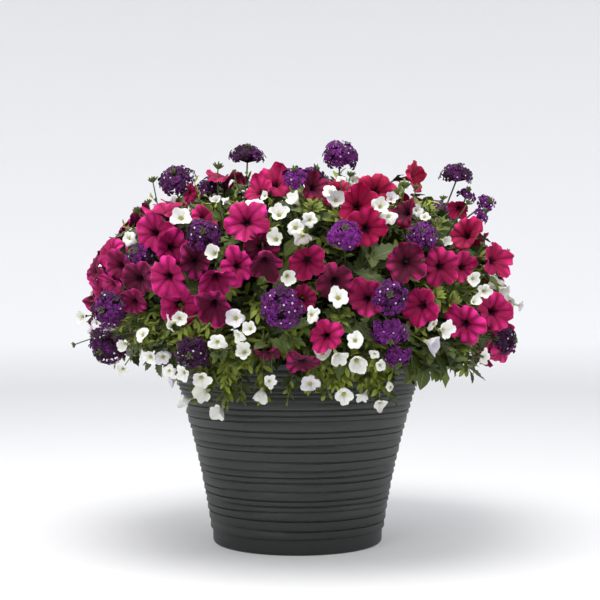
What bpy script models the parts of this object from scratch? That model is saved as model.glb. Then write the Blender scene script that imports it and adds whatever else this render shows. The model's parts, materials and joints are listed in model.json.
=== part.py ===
"""A ribbed patio pot planted with petunias, verbenas and trailing calibrachoas.

Metres, +Z up. The origin is on the ground under the middle of the pot, and the plants' best side faces -Y.
The pot is filled with soil, and every shoot of the plants stands in a hole of its own in the soil. A shoot is one
grown piece: its stem, side stems, leaves and flowers.
"""

import math
from functools import partial

import bmesh
import bpy
import numpy as np
from mathutils import Vector
from mathutils.bvhtree import BVHTree

# Pot
POT_HEIGHT = 0.255
BASE_RADIUS = 0.1176
FLARE_SLOPE = 0.126
FLARE_CURVE = 0.445
WALL = 0.0045
FLOOR_TOP = 0.009
GROOVE_DEPTH = 0.0020
LIP_RISE = 0.0026
GROOVE_HEIGHTS = (
    0.020, 0.036, 0.053, 0.068, 0.084, 0.104, 0.121,
    0.138, 0.157, 0.172, 0.188, 0.206, 0.222, 0.239,
)
FOOT_BEVEL = 0.005
FOOT_RING_WIDTH = 0.016
FOOT_PAD_RADIUS = 0.030
UNDERSIDE_RECESS = 0.003
DRAIN_COUNT = 5
DRAIN_RADIUS = 0.006
DRAIN_CIRCLE = 0.062
SEGMENTS = 24

# Soil
SOIL_GAP = 0.0003
SOIL_EDGE_HEIGHT = 0.226
SOIL_CROWN = 0.010
HOLE_DEPTH = 0.035
HOLE_SPARE = 0.0004
ROOT_RADIUS_MOST = 0.140
ROOT_SPACING = 0.015

# The mound that the flowers make, and where it is looked at from
MOUND_RADIUS = 0.300
MOUND_MIDDLE = 0.315
MOUND_RISE = 0.205
MOUND_DROP = 0.140
MOUND_POWER = 2.4
HANG_CLEARANCE = 0.017
EYE_DISTANCE = 1.82
EYE_HEIGHT = 0.336

# Plants: shoots of each kind, stem and side-stem radii
SHOOTS = {"petunia": 12, "verbena": 9, "calibrachoa": 13}
STEM_RADIUS = {"petunia": 0.0026, "verbena": 0.0021, "calibrachoa": 0.0019}
STALK_RADIUS = {"petunia": 0.0015, "verbena": 0.0014, "calibrachoa": 0.0011}
STALK_ROOT = 0.0006
STEM_SIDES = 3
STEM_STEPS = 3
CLEARANCE = 0.0005
OWN_PRICE = 0.05
STRAIGHT_REACH = 0.045
NUDGES = (0.007, 0.013)
LEAF_THICKNESS = 0.0014
LEAF_ROOT = 0.0004
LEAF_SIZES = {
    "petunia": (0.048, 0.024),
    "verbena": (0.050, 0.026),
    "calibrachoa": (0.026, 0.009),
}
LEAVES_A_SHOOT = {"petunia": 3, "verbena": 2, "calibrachoa": 2}
LEAF_TRIES = 4
FAR_SIDE_POINTS = 92
FAR_SIDE_LOWEST = -0.42
FAR_SIDE_TRAILING = 0.25
FAR_SIDE_PATTERN = ("petunia", "calibrachoa", "verbena", "petunia", "calibrachoa")
FAR_SIDE_WIDTHS = {"petunia": 50, "verbena": 52, "calibrachoa": 25}

# Flowers of the near side, in millimetres on the upright plane through the pot's axis, as seen from the eye:
# across, up, width, then the way the flower faces in degrees, pan to the right and tilt upwards,
# and how far in front of the mound it stands.
PETUNIAS = (
    (-200, 430, 50, -15, 5, 6), (-174, 412, 50, 25, -10, -8), (-184, 464, 59, -40, 65, 0),
    (-128, 452, 42, 60, 20, -12), (-110, 506, 53, 0, 80, 10), (-140, 488, 28, 60, 10, -6),
    (-266, 402, 45, -40, 20, 0), (-280, 376, 36, -60, 0, 4), (-288, 348, 39, -75, 0, 0),
    (-260, 360, 36, -50, -20, -6), (-180, 364, 53, -10, -5, 6), (-168, 332, 53, 5, -15, -4),
    (-112, 370, 48, 5, -30, 6), (-116, 328, 50, 0, -30, -4), (-226, 366, 48, -25, -10, -8),
    (-140, 394, 45, 10, -5, -10), (-68, 442, 55, 0, 5, 10), (-86, 382, 46, 20, 0, 0),
    (-46, 390, 46, 10, -50, 0), (-32, 504, 53, 0, 45, 0), (-50, 488, 42, -30, 40, -10),
    (22, 496, 34, 20, 20, -14), (84, 468, 50, 0, 10, -4), (96, 438, 55, 5, -5, 8),
    (106, 490, 50, 10, 5, -6), (128, 488, 36, 50, 10, -14), (166, 506, 45, 140, 30, 0),
    (158, 454, 42, -40, 20, 0), (236, 428, 48, -20, 15, 0), (152, 390, 53, -5, 0, 6),
    (200, 384, 48, 10, -10, 0), (234, 382, 39, 20, 0, -8), (276, 392, 45, 70, 20, 0),
    (226, 464, 28, -10, -15, 0), (276, 320, 52, 15, 0, 6), (234, 302, 50, -20, -10, 8),
    (290, 264, 42, 50, -40, -6), (172, 328, 53, -40, -5, 0), (102, 338, 50, -10, 0, -12),
    (14, 390, 48, -5, -15, -4), (52, 362, 50, 5, -20, -10), (40, 284, 45, -10, -5, 0),
    (14, 250, 46, 0, -55, -6), (8, 338, 36, 10, 0, -24), (-50, 410, 48, 10, -20, -12),
    (56, 494, 39, 0, 30, -16), (-234, 338, 36, -20, -20, -10), (-250, 382, 42, -30, 0, -10),
    (-42, 260, 34, -10, -60, -16),
)
VERBENAS = (
    (-166, 504, 55, -15, 45, 8), (-70, 536, 53, 10, 80, 0), (60, 536, 57, 5, 55, 0),
    (-4, 504, 39, 0, 50, 12), (24, 510, 34, 40, 60, 0), (-132, 422, 53, 0, 15, 8),
    (-224, 396, 42, -30, 20, 0), (-260, 328, 53, -30, 0, 8), (-266, 266, 53, -25, -20, 6),
    (-148, 262, 50, -5, -10, 8), (-20, 328, 62, 0, 0, 12), (68, 426, 50, 0, 30, 8),
    (126, 338, 52, 0, 10, 10), (130, 292, 53, 0, -50, 4), (140, 260, 39, 10, -60, 0),
    (290, 280, 45, 60, 0, 10), (222, 508, 48, 20, 75, 0), (236, 482, 25, 30, 60, 0),
    (260, 466, 25, 30, 20, 0), (178, 428, 45, 0, 30, 4), (252, 452, 25, 60, 40, 0),
    (-120, 498, 36, 0, 60, -10),
)
CALIBRACHOAS = (
    (-164, 448, 28), (-234, 416, 21), (-114, 402, 22), (-114, 476, 15), (-98, 474, 13), (-26, 456, 25),
    (-30, 422, 24), (0, 438, 24), (8, 420, 25), (18, 448, 21), (-2, 474, 21), (46, 488, 21),
    (58, 478, 24), (82, 500, 15), (-60, 472, 24), (-46, 482, 14), (62, 504, 15), (114, 466, 24),
    (128, 456, 24), (132, 478, 17), (166, 462, 17), (178, 452, 14), (200, 420, 15), (246, 366, 21),
    (-180, 304, 25), (-164, 310, 20), (-218, 288, 22), (-206, 256, 21), (-188, 256, 22), (-160, 234, 22),
    (-180, 236, 18), (-134, 226, 24), (-130, 208, 27), (-154, 196, 20), (-112, 276, 24), (-282, 304, 18),
    (-302, 312, 18), (-242, 274, 18), (-250, 246, 18), (-174, 222, 15), (-108, 182, 25), (-88, 308, 27),
    (-82, 288, 25), (-68, 296, 20), (-74, 264, 22), (-14, 366, 22), (58, 340, 28), (22, 316, 22),
    (30, 264, 24), (56, 260, 24), (84, 250, 28), (82, 280, 24), (18, 222, 25), (-50, 206, 24),
    (-38, 222, 18), (66, 202, 28), (94, 204, 17), (116, 190, 20), (130, 214, 13), (118, 246, 17),
    (108, 260, 14), (204, 292, 27), (188, 278, 27), (190, 304, 17), (262, 348, 21), (248, 334, 17),
    (286, 350, 20), (262, 256, 21), (316, 328, 15), (298, 334, 17),
)

GREEN, PETAL = 0, 1
TAU = 2 * math.pi
GOLDEN_ANGLE = math.pi * (3 - math.sqrt(5))


# Scene and materials


def clear_scene():
    for thing in list(bpy.data.objects):
        bpy.data.objects.remove(thing)


def material(name, colour, roughness, metallic=0.0):
    made = bpy.data.materials.new(name)
    made.use_nodes = True
    shader = made.node_tree.nodes["Principled BSDF"]
    shader.inputs["Base Color"].default_value = (*colour, 1.0)
    shader.inputs["Roughness"].default_value = roughness
    shader.inputs["Metallic"].default_value = metallic
    made.diffuse_color = (*colour, 1.0)
    return made


# Solids: points and faces of one closed piece


class Solid:
    """Points and faces of one closed piece, before it becomes a Blender mesh."""

    def __init__(self):
        self.points = []
        self.faces = []
        self.paints = []

    def ring(self, points):
        start = len(self.points)
        self.points.extend(Vector(p) for p in points)
        return list(range(start, len(self.points)))

    def point(self, p):
        return self.ring([p])[0]

    def face(self, corners, paint):
        self.faces.append(tuple(corners))
        self.paints.append(paint)

    def fan(self, ring, tip, paint):
        for i, corner in enumerate(ring):
            self.face((corner, ring[(i + 1) % len(ring)], tip), paint)

    def zip(self, a, b, paint):
        """Joins two rings of any two counts with triangles, going round both at the same pace."""
        i = j = 0
        while i < len(a) or j < len(b):
            if j >= len(b) or (i < len(a) and (i + 1) / len(a) <= (j + 1) / len(b)):
                self.face((a[i], a[(i + 1) % len(a)], b[j % len(b)]), paint)
                i += 1
            else:
                self.face((a[i % len(a)], b[(j + 1) % len(b)], b[j]), paint)
                j += 1

    def tube_on(self, ring, path, radius, paint, end_radius=None, sides=STEM_SIDES):
        """Carries a ring on as a tube along a path, and closes it at the end, where it may be thinner."""
        if ring is not None and self.turn_of(ring).dot(path[1] - path[0]) < 0:
            ring = ring[::-1]
        turn = 0.0
        for k, (centre, across, beside) in enumerate(frames(path)):
            if end_radius and k == len(path) - 1:
                radius = end_radius
            if ring is not None and k == 0:
                turn = best_turn(self.points, ring, centre, across, beside, radius, sides)
            rim = [centre + radius * (math.cos(turn + TAU * n / sides) * across
                                      + math.sin(turn + TAU * n / sides) * beside) for n in range(sides)]
            following = self.ring(rim)
            if ring is None:
                self.face(following[::-1], paint)
            else:
                self.zip(ring, following, paint)
            ring = following
        self.face(ring, paint)

    def turn_of(self, ring):
        """The direction a ring goes round, by the right-hand rule."""
        turn = Vector((0, 0, 0))
        for a, b in zip(ring, ring[1:] + ring[:1]):
            turn += (self.points[a] - self.points[ring[0]]).cross(self.points[b] - self.points[ring[0]])
        return turn

    def tree(self):
        return BVHTree.FromPolygons(self.points, self.faces)

    def crosses_itself(self):
        tree = self.tree()
        return any(a < b and not set(self.faces[a]) & set(self.faces[b]) for a, b in tree.overlap(tree))

    def bounds(self):
        spots = np.array([tuple(p) for p in self.points])
        return spots.min(axis=0), spots.max(axis=0)

    def to_object(self, name, materials):
        mesh = bpy.data.meshes.new(name)
        mesh.from_pydata([tuple(p) for p in self.points], [], self.faces)
        for m in materials:
            mesh.materials.append(m)
        for face, paint in zip(mesh.polygons, self.paints):
            face.material_index = paint
        shape = bmesh.new()
        shape.from_mesh(mesh)
        bmesh.ops.recalc_face_normals(shape, faces=shape.faces)
        shape.to_mesh(mesh)
        shape.free()
        made = bpy.data.objects.new(name, mesh)
        bpy.context.scene.collection.objects.link(made)
        return made


def best_turn(points, ring, centre, across, beside, radius, sides):
    """The angle for a tube's first ring that puts its corners beside the middles of the other ring's stretches."""
    def apart(turn):
        total = 0
        for n in range(sides):
            angle = turn + TAU * n / sides
            corner = centre + radius * (math.cos(angle) * across + math.sin(angle) * beside)
            total += (corner - points[ring[int((n + 0.5) * len(ring) / sides)]]).length
        return total

    return min((TAU * k / 24 for k in range(24)), key=apart)


def frames(path):
    """Each point of a path with two directions square to it, carried along without twist."""
    made = []
    across = None
    for i, centre in enumerate(path):
        along = (path[min(i + 1, len(path) - 1)] - path[max(i - 1, 0)]).normalized()
        if across is None:
            across = along.orthogonal().normalized()
        across = (across - along * across.dot(along)).normalized()
        made.append((centre, across, along.cross(across)))
    return made


def bezier(a, b, c, d, steps):
    """Points along a cubic curve, its start left out."""
    made = []
    for k in range(1, steps + 1):
        t = k / steps
        s = 1 - t
        made.append(a * s**3 + b * (3 * s * s * t) + c * (3 * s * t * t) + d * t**3)
    return made


def join(name, pieces, materials):
    """One object from overlapping closed pieces, by one Boolean union on their collection."""
    for solver in ("MANIFOLD", "EXACT"):
        joined = join_by(solver, name, pieces, materials)
        if is_one_body(joined):
            break
        if solver == "MANIFOLD":
            bpy.data.objects.remove(joined)
    return joined


def is_one_body(thing):
    """Whether a mesh is closed, and every corner can be reached from the first along its edges."""
    shape = bmesh.new()
    shape.from_mesh(thing.data)
    closed = all(edge.is_manifold for edge in shape.edges)
    reached = set(list(shape.verts)[:1])
    waiting = list(reached)
    while waiting:
        corner = waiting.pop()
        for edge in corner.link_edges:
            other = edge.other_vert(corner)
            if other not in reached:
                reached.add(other)
                waiting.append(other)
    whole = len(reached) == len(shape.verts)
    shape.free()
    return closed and whole


def join_by(solver, name, pieces, materials):
    first = pieces[0].to_object(name, materials)
    others = bpy.data.collections.new(name + "_repeats")
    bpy.context.scene.collection.children.link(others)
    for k, piece in enumerate(pieces[1:]):
        loose = piece.to_object(f"{name}_repeat_{k}", materials)
        bpy.context.scene.collection.objects.unlink(loose)
        others.objects.link(loose)
    union = first.modifiers.new("Union", "BOOLEAN")
    union.operation = "UNION"
    union.operand_type = "COLLECTION"
    union.collection = others
    union.solver = solver
    apply_modifiers(first)
    for loose in list(others.objects):
        bpy.data.objects.remove(loose)
    bpy.data.collections.remove(others)
    return first


def apply_modifiers(thing):
    graph = bpy.context.evaluated_depsgraph_get()
    mesh = bpy.data.meshes.new_from_object(thing.evaluated_get(graph))
    thing.modifiers.clear()
    thing.data = mesh


# Pot


def wall_radius(z):
    return BASE_RADIUS + FLARE_SLOPE * z + FLARE_CURVE * z * z


def inner_radius(z):
    return wall_radius(z) - GROOVE_DEPTH - WALL


def lathe(name, profile, materials):
    """Spins a profile of (radius, height) points, which ends on the axis at both ends, round the Z axis."""
    mesh = bpy.data.meshes.new(name)
    shape = bmesh.new()
    spots = [shape.verts.new((r, 0, z)) for r, z in profile]
    edges = [shape.edges.new(pair) for pair in zip(spots, spots[1:])]
    bmesh.ops.spin(
        shape, geom=spots + edges, cent=(0, 0, 0), axis=(0, 0, 1), angle=TAU, steps=SEGMENTS, use_merge=True
    )
    bmesh.ops.remove_doubles(shape, verts=shape.verts, dist=1e-6)
    bmesh.ops.recalc_face_normals(shape, faces=shape.faces)
    shape.to_mesh(mesh)
    shape.free()
    for m in materials:
        mesh.materials.append(m)
    made = bpy.data.objects.new(name, mesh)
    bpy.context.scene.collection.objects.link(made)
    return made


def outer_profile():
    """The ribbed outside of the pot, from its foot up: each groove is followed by the lip of the rib above it."""
    points = [(BASE_RADIUS - FOOT_BEVEL, 0.0), (BASE_RADIUS, FOOT_BEVEL)]
    for z in GROOVE_HEIGHTS:
        points.append((wall_radius(z) - GROOVE_DEPTH, z))
        points.append((wall_radius(z + LIP_RISE) + GROOVE_DEPTH * 0.35, z + LIP_RISE))
    points.append((wall_radius(POT_HEIGHT) - 0.0012, POT_HEIGHT - 0.0015))
    points.append((wall_radius(POT_HEIGHT) - 0.0027, POT_HEIGHT))
    return points


def inner_heights():
    return [FLOOR_TOP, 0.12, SOIL_EDGE_HEIGHT]


def cutter_cylinder(name, radius, low, high, sides, place):
    bpy.ops.mesh.primitive_cylinder_add(
        vertices=sides,
        radius=radius,
        depth=high - low,
        location=(*place, (low + high) / 2),
        rotation=(0, 0, math.pi / 4),
    )
    made = bpy.context.object
    made.name = name
    return made


def cut(thing, cutters):
    """Takes the cutters out of the thing, and removes them."""
    group = bpy.data.collections.new("cutters")
    bpy.context.scene.collection.children.link(group)
    for cutter in cutters:
        for home in list(cutter.users_collection):
            home.objects.unlink(cutter)
        group.objects.link(cutter)
    modifier = thing.modifiers.new("Cut", "BOOLEAN")
    modifier.operation = "DIFFERENCE"
    modifier.operand_type = "COLLECTION"
    modifier.collection = group
    apply_modifiers(thing)
    for cutter in list(group.objects):
        bpy.data.objects.remove(cutter)
    bpy.data.collections.remove(group)


def make_pot(plastic):
    inside = [(inner_radius(z), z) for z in reversed(inner_heights())]
    rim_inside = [(inner_radius(POT_HEIGHT), POT_HEIGHT)]
    ring_inside = BASE_RADIUS - FOOT_BEVEL - FOOT_RING_WIDTH
    under = [
        (0.0, 0.0),
        (FOOT_PAD_RADIUS, 0.0),
        (FOOT_PAD_RADIUS, UNDERSIDE_RECESS),
        (ring_inside, UNDERSIDE_RECESS),
        (ring_inside, 0.0),
    ]
    pot = lathe("pot", under + outer_profile() + rim_inside + inside + [(0.0, FLOOR_TOP)], [plastic])
    drains = []
    for k in range(DRAIN_COUNT):
        angle = TAU * k / DRAIN_COUNT
        place = (DRAIN_CIRCLE * math.cos(angle), DRAIN_CIRCLE * math.sin(angle))
        drains.append(cutter_cylinder(f"drain_{k}", DRAIN_RADIUS, -0.01, FLOOR_TOP + 0.01, 8, place))
    cut(pot, drains)
    pot.data.shade_smooth()
    pot.data.set_sharp_from_angle(angle=math.radians(30))
    return pot


def make_soil(roots, earth):
    profile = [(0.0, FLOOR_TOP + SOIL_GAP)]
    for z in inner_heights():
        lift = SOIL_GAP if z == FLOOR_TOP else 0.0
        profile.append((inner_radius(z) - 2 * SOIL_GAP, z + lift))
    profile += [(0.09, SOIL_EDGE_HEIGHT + SOIL_CROWN * 0.7), (0.0, SOIL_EDGE_HEIGHT + SOIL_CROWN)]
    soil = lathe("soil", profile, [earth])
    holes = []
    for k, (x, y, stem) in enumerate(roots):
        half = stem + HOLE_SPARE
        floor = SOIL_EDGE_HEIGHT - HOLE_DEPTH - HOLE_SPARE
        holes.append(cutter_cylinder(f"hole_{k}", half * math.sqrt(2), floor, SOIL_EDGE_HEIGHT + 0.05, 4, (x, y)))
    cut(soil, holes)
    return soil


# Where the flowers are


class Flower:
    def __init__(self, kind, place, facing, radius, number):
        self.kind = kind
        self.place = np.array(place, float)
        self.facing = unit(facing)
        self.radius = float(radius)
        self.number = number


def unit(v):
    v = np.array(v, float)
    return v / np.linalg.norm(v)


def mound_radius(z):
    """How far the flowers stand from the pot's axis at a height, and never inside the pot's wall."""
    reach = MOUND_RISE if z > MOUND_MIDDLE else MOUND_DROP
    share = min(1.0, abs(z - MOUND_MIDDLE) / reach)
    radius = MOUND_RADIUS * (1 - share**MOUND_POWER) ** (1 / MOUND_POWER)
    if z < POT_HEIGHT:
        radius = max(radius, wall_radius(z) + HANG_CLEARANCE)
    return radius


def mound_point(angle, cosine):
    """Where a line from the mound's middle leaves it, by the angle round the axis and the cosine from the top."""
    sine = math.sqrt(1 - cosine**2)
    reach = MOUND_RISE if cosine > 0 else MOUND_DROP
    power = (sine / MOUND_RADIUS) ** MOUND_POWER + (abs(cosine) / reach) ** MOUND_POWER
    distance = power ** (-1 / MOUND_POWER)
    z = MOUND_MIDDLE + distance * cosine
    level = distance * sine
    if z < POT_HEIGHT:
        level = max(level, wall_radius(z) + HANG_CLEARANCE)
    return np.array((level * math.cos(angle), level * math.sin(angle), z))


def mound_normal(place):
    x, y, z = place
    reach = MOUND_RISE if z > MOUND_MIDDLE else MOUND_DROP
    level = math.hypot(x, y)
    outward = (min(1.0, level / MOUND_RADIUS) + 1e-6) ** (MOUND_POWER - 1) / MOUND_RADIUS
    rise = min(1.0, abs(z - MOUND_MIDDLE) / reach) ** (MOUND_POWER - 1) / reach
    rise = math.copysign(rise, z - MOUND_MIDDLE)
    return unit((outward * x / max(level, 1e-6), outward * y / max(level, 1e-6), rise))


def seen_at(across, up, depth):
    """The point at this depth, Y, that the eye sees at this place on the upright plane through the pot's axis."""
    scale = (EYE_DISTANCE + depth) / EYE_DISTANCE
    return np.array((across * scale, depth, EYE_HEIGHT + (up - EYE_HEIGHT) * scale))


def on_mound(across, up, out):
    """Where the eye's line through this place meets the near side of the mound, brought forward by out."""
    depth = -0.2
    for _ in range(30):
        x, _, z = seen_at(across, up, depth)
        level = mound_radius(z) ** 2 - x * x
        depth = 0.5 * depth - 0.5 * (math.sqrt(level) if level > 0 else 0.015)
    return seen_at(across, up, depth - out)


def facing(pan, tilt):
    pan, tilt = math.radians(pan), math.radians(tilt)
    return np.array((math.sin(pan) * math.cos(tilt), -math.cos(pan) * math.cos(tilt), math.sin(tilt)))


def near_side():
    rng = np.random.default_rng(7)
    flowers = []
    for kind, rows in (("petunia", PETUNIAS), ("verbena", VERBENAS)):
        for across, up, width, pan, tilt, out in rows:
            place = on_mound(across / 1000, up / 1000, out / 1000)
            radius = width / 2000 * (EYE_DISTANCE + place[1]) / EYE_DISTANCE
            flowers.append(Flower(kind, place, facing(pan, tilt), radius, len(flowers)))
    for across, up, width in CALIBRACHOAS:
        place = on_mound(across / 1000, up / 1000, 0.006)
        radius = width / 2000 * (EYE_DISTANCE + place[1]) / EYE_DISTANCE
        turned = 0.55 * mound_normal(place) + 0.45 * np.array((0, -1, 0.0)) + rng.normal(0, 0.22, 3)
        flowers.append(Flower("calibrachoa", place, turned, radius, len(flowers)))
    return flowers


def far_side(flowers):
    """Flowers where the eye can't see them, on a golden spiral over the mound, in the near side's mixture."""
    rng = np.random.default_rng(11)
    turn = 0
    for k in range(FAR_SIDE_POINTS):
        cosine = 1 + (FAR_SIDE_LOWEST - 1) * (k + 0.5) / FAR_SIDE_POINTS
        place = mound_point(k * GOLDEN_ANGLE, cosine)
        normal = mound_normal(place)
        to_eye = unit(np.array((0, -EYE_DISTANCE, EYE_HEIGHT)) - place)
        high = place[2] > FAR_SIDE_TRAILING
        kind = FAR_SIDE_PATTERN[turn % len(FAR_SIDE_PATTERN)] if high else "calibrachoa"
        radius = FAR_SIDE_WIDTHS[kind] / 2000
        crowded = any(np.linalg.norm(place - f.place) < 0.95 * (radius + f.radius) + 0.004 for f in flowers)
        if normal @ to_eye > 0.0 or crowded:
            continue
        turn += 1
        turned = normal + (0, 0, 0.15) + rng.normal(0, 0.2, 3)
        flowers.append(Flower(kind, place, turned, radius, len(flowers)))


# Rough sizes of each kind in radii: half thickness of the limb, length of the tube behind it, radius of the tube.
# Then the room kept round limbs and tubes, and how much of an overlap, at most how far, and how far back towards
# its place a flower moves in one round.
ROUGH = {"petunia": (0.17, 1.25, 0.17), "verbena": (0.55, 0.9, 0.06), "calibrachoa": (0.24, 1.4, 0.16)}
LIMB_ROOM = 0.0016
TUBE_ROOM = 0.0018
PUSH_SHARE = 0.22
MOVE_MOST = 0.003
RETURN_SHARE = 0.02
RIM_ZONE = 0.012
RIM_ROOM = 0.8 * HANG_CLEARANCE


def feelers(flower):
    """Points on a flower that must stay out of the others."""
    side = unit(np.cross(flower.facing, (0.31, 0.17, 0.94)))
    other = np.cross(flower.facing, side)
    spots = [flower.place]
    for share, count, lift in ((1.0, 10, -0.03), (0.55, 5, -0.1)):
        for k in range(count):
            a = TAU * k / count
            level = share * flower.radius
            spot = flower.place + level * (math.cos(a) * side + math.sin(a) * other)
            spots.append(spot + lift * flower.radius * flower.facing)
    if flower.kind == "verbena":
        spots.append(flower.place + 0.6 * flower.radius * flower.facing)
    for share in (0.4, 0.7, 1.0, 1.3):
        spots.append(flower.place - share * flower.radius * flower.facing)
    return np.array(spots)


def settle(flowers, rounds=60):
    """Nudges apart flowers whose limbs or tubes would cut into each other."""
    radius = np.array([f.radius for f in flowers])
    turned = np.array([f.facing for f in flowers])
    half = np.array([ROUGH[f.kind][0] for f in flowers]) * radius + LIMB_ROOM
    tube = np.array([ROUGH[f.kind][1] for f in flowers]) * radius
    pipe = np.array([ROUGH[f.kind][2] for f in flowers]) * radius + TUBE_ROOM
    start = np.array([f.place for f in flowers])
    offsets = [feelers(f) - f.place for f in flowers]
    owner = np.concatenate([[i] * len(o) for i, o in enumerate(offsets)])
    offsets = np.concatenate(offsets)
    others = owner[:, None] != np.arange(len(flowers))
    place = start.copy()
    for _ in range(rounds):
        spots = place[owner] + offsets
        apart = spots[:, None, :] - place[None, :, :]
        lift = np.einsum("ijk,jk->ij", apart, turned)
        level_vector = apart - lift[:, :, None] * turned[None]
        level = np.linalg.norm(level_vector, axis=2)
        limb = (np.abs(lift) < half) & (level < radius + LIMB_ROOM) & others
        behind = (lift < -half) & (lift > -tube) & (level < pipe) & others
        push = np.zeros_like(apart)
        along_depth = half - np.abs(lift)
        out_depth = radius + LIMB_ROOM - level
        flat = limb & (along_depth <= out_depth)
        edge = limb & ~flat
        away = level_vector / np.maximum(level, 1e-6)[:, :, None]
        push += np.where(flat, np.sign(lift) * along_depth, 0)[:, :, None] * turned[None]
        push += np.where(edge, out_depth, 0)[:, :, None] * away
        push += np.where(behind, pipe - level, 0)[:, :, None] * away
        moves = np.zeros_like(place)
        for k in range(3):
            np.add.at(moves[:, k], owner, push[:, :, k].sum(axis=1) * PUSH_SHARE)
            moves[:, k] -= push[:, :, k].sum(axis=0) * PUSH_SHARE
        size = np.linalg.norm(moves, axis=1)
        moves *= (np.minimum(size, MOVE_MOST) / np.maximum(size, 1e-9))[:, None]
        place += moves + (start - place) * RETURN_SHARE
        for i in range(len(flowers)):
            level = math.hypot(*place[i][:2])
            if place[i][2] < POT_HEIGHT + RIM_ZONE:
                least = wall_radius(min(place[i][2], POT_HEIGHT)) + RIM_ROOM
                if level < least:
                    place[i][:2] *= least / level
    for f, p in zip(flowers, place):
        f.place = p


def groups(flowers, count):
    """Shares flowers out among shoots evenly, by halving them across their longest stretch again and again."""
    if count == 1:
        return [flowers]
    spots = np.array([f.place for f in flowers])
    axis = int(np.ptp(spots, axis=0).argmax())
    ordered = sorted(flowers, key=lambda f: f.place[axis])
    first = count // 2
    middle = round(len(ordered) * first / count)
    return groups(ordered[:middle], first) + groups(ordered[middle:], count - first)


# Flower and leaf shapes


def axes_of(flower):
    up = Vector(flower.facing)
    roll = 2.4 * flower.number
    side = up.orthogonal().normalized()
    other = up.cross(side)
    return up, math.cos(roll) * side + math.sin(roll) * other, math.cos(roll) * other - math.sin(roll) * side


def lobed_rim(flower, notch, droop):
    """Ten points round a five-lobed limb, every other one in a notch; only the lobes' tips on a small one."""
    up, side, other = axes_of(flower)
    middle = Vector(flower.place)
    rim = []
    step = 1 if flower.radius > NOTCHED_RADIUS else 2
    for k in range(0, 10, step):
        angle = TAU * k / 10
        reach = flower.radius * (1.0 if k % 2 == 0 else notch)
        lift = -droop * flower.radius if k % 2 == 0 else 0.0
        rim.append(middle + reach * (math.cos(angle) * side + math.sin(angle) * other) + lift * up)
    return rim


def ring_behind(flower, reach, depth, sides):
    up, side, other = axes_of(flower)
    middle = Vector(flower.place) - depth * flower.radius * up
    made = []
    for k in range(sides):
        angle = TAU * (k + 0.5) / sides
        made.append(middle + reach * flower.radius * (math.cos(angle) * side + math.sin(angle) * other))
    return made


def behind(flower, depth):
    return Vector(flower.place) - depth * flower.radius * Vector(flower.facing)


NOTCHED_RADIUS = 0.0118
TUBE_END = {"petunia": 1.15, "verbena": 0.30, "calibrachoa": 1.20}


def petunia_bloom(flower, stalk):
    """A flared limb of five lobes with a deep throat, narrowing behind into a tube and the side stem."""
    bloom = Solid()
    rim = bloom.ring(lobed_rim(flower, 0.84, 0.10))
    bloom.fan(rim, bloom.point(behind(flower, 0.42)), PETAL)
    back = bloom.ring(ring_behind(flower, 0.36, 0.46, 3))
    bloom.zip(rim, back, PETAL)
    bloom.tube_on(back, stalk, STALK_RADIUS["petunia"], GREEN, STALK_ROOT)
    return bloom


def calibrachoa_bloom(flower, stalk):
    bloom = Solid()
    rim = bloom.ring(lobed_rim(flower, 0.82, 0.08))
    bloom.fan(rim, bloom.point(behind(flower, 0.34)), PETAL)
    back = bloom.ring(ring_behind(flower, 0.30, 0.52, 3))
    bloom.zip(rim, back, PETAL)
    bloom.tube_on(back, stalk, STALK_RADIUS["calibrachoa"], GREEN, STALK_ROOT)
    return bloom


FLORETS_MOST = 7
FLORETS_FEWEST = 5
FLORET_ROOM = 0.0034
FLORET_SPAN = math.radians(104)
FLORET_REACH = 0.46


def verbena_head(flower, stalk):
    """A domed head of cupped five-petalled florets, raised on one closed surface that runs on into the stalk:
    petal tips stand out, floret middles and the gaps between florets lie deeper."""
    up, side, other = axes_of(flower)
    rng = np.random.default_rng(100 + flower.number)
    spots, heights, paints = [], [], []
    middles = []
    count = max(FLORETS_FEWEST, min(FLORETS_MOST, round(flower.radius / FLORET_ROOM)))
    for k in range(count):
        cosine = math.cos(0.16) + (math.cos(FLORET_SPAN) - math.cos(0.16)) * k / (count - 1)
        polar, around = math.acos(cosine), k * GOLDEN_ANGLE
        middles.append(unit((math.sin(polar) * math.cos(around), math.sin(polar) * math.sin(around), cosine)))
    for middle in middles:
        spots.append(middle)
        heights.append(0.80)
        across = unit(np.cross(middle, (0.4, 0.1, 0.9)))
        beside = np.cross(middle, across)
        phase = rng.uniform(0, TAU)
        for k in range(5):
            a = phase + TAU * k / 5
            tip = math.cos(FLORET_REACH) * middle
            spots.append(unit(tip + math.sin(FLORET_REACH) * (math.cos(a) * across + math.sin(a) * beside)))
            heights.append(rng.uniform(0.94, 1.04))
    hull = hull_faces(middles + [np.array((0, 0, -1.0))])
    for corners in hull:
        gap = unit(np.mean([(middles + [np.array((0, 0, -1.0))])[c] for c in corners], axis=0))
        if min(math.acos(max(-1, min(1, gap @ s))) for s in spots) > 0.16:
            spots.append(gap)
            heights.append(0.70 if gap[2] > -0.3 else 0.45)
    spots.append(np.array((0, 0, -1.0)))
    heights.append(0.30)
    bottom = len(spots) - 1
    head = Solid()
    for spot, height in zip(spots, heights):
        x, y, z = (float(flower.radius * height * n) for n in spot)
        head.point(Vector(flower.place) + x * side + y * other + z * up)
    following = {}
    for corners in hull_faces(spots):
        if bottom in corners:
            k = corners.index(bottom)
            following[corners[(k + 1) % 3]] = corners[(k + 2) % 3]
        else:
            head.face(corners, PETAL)
    around_stalk = [next(iter(following))]
    while following[around_stalk[-1]] != around_stalk[0]:
        around_stalk.append(following[around_stalk[-1]])
    head.points.pop()
    head.tube_on(around_stalk, stalk, STALK_RADIUS["verbena"], GREEN, STALK_ROOT)
    return head


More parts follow.
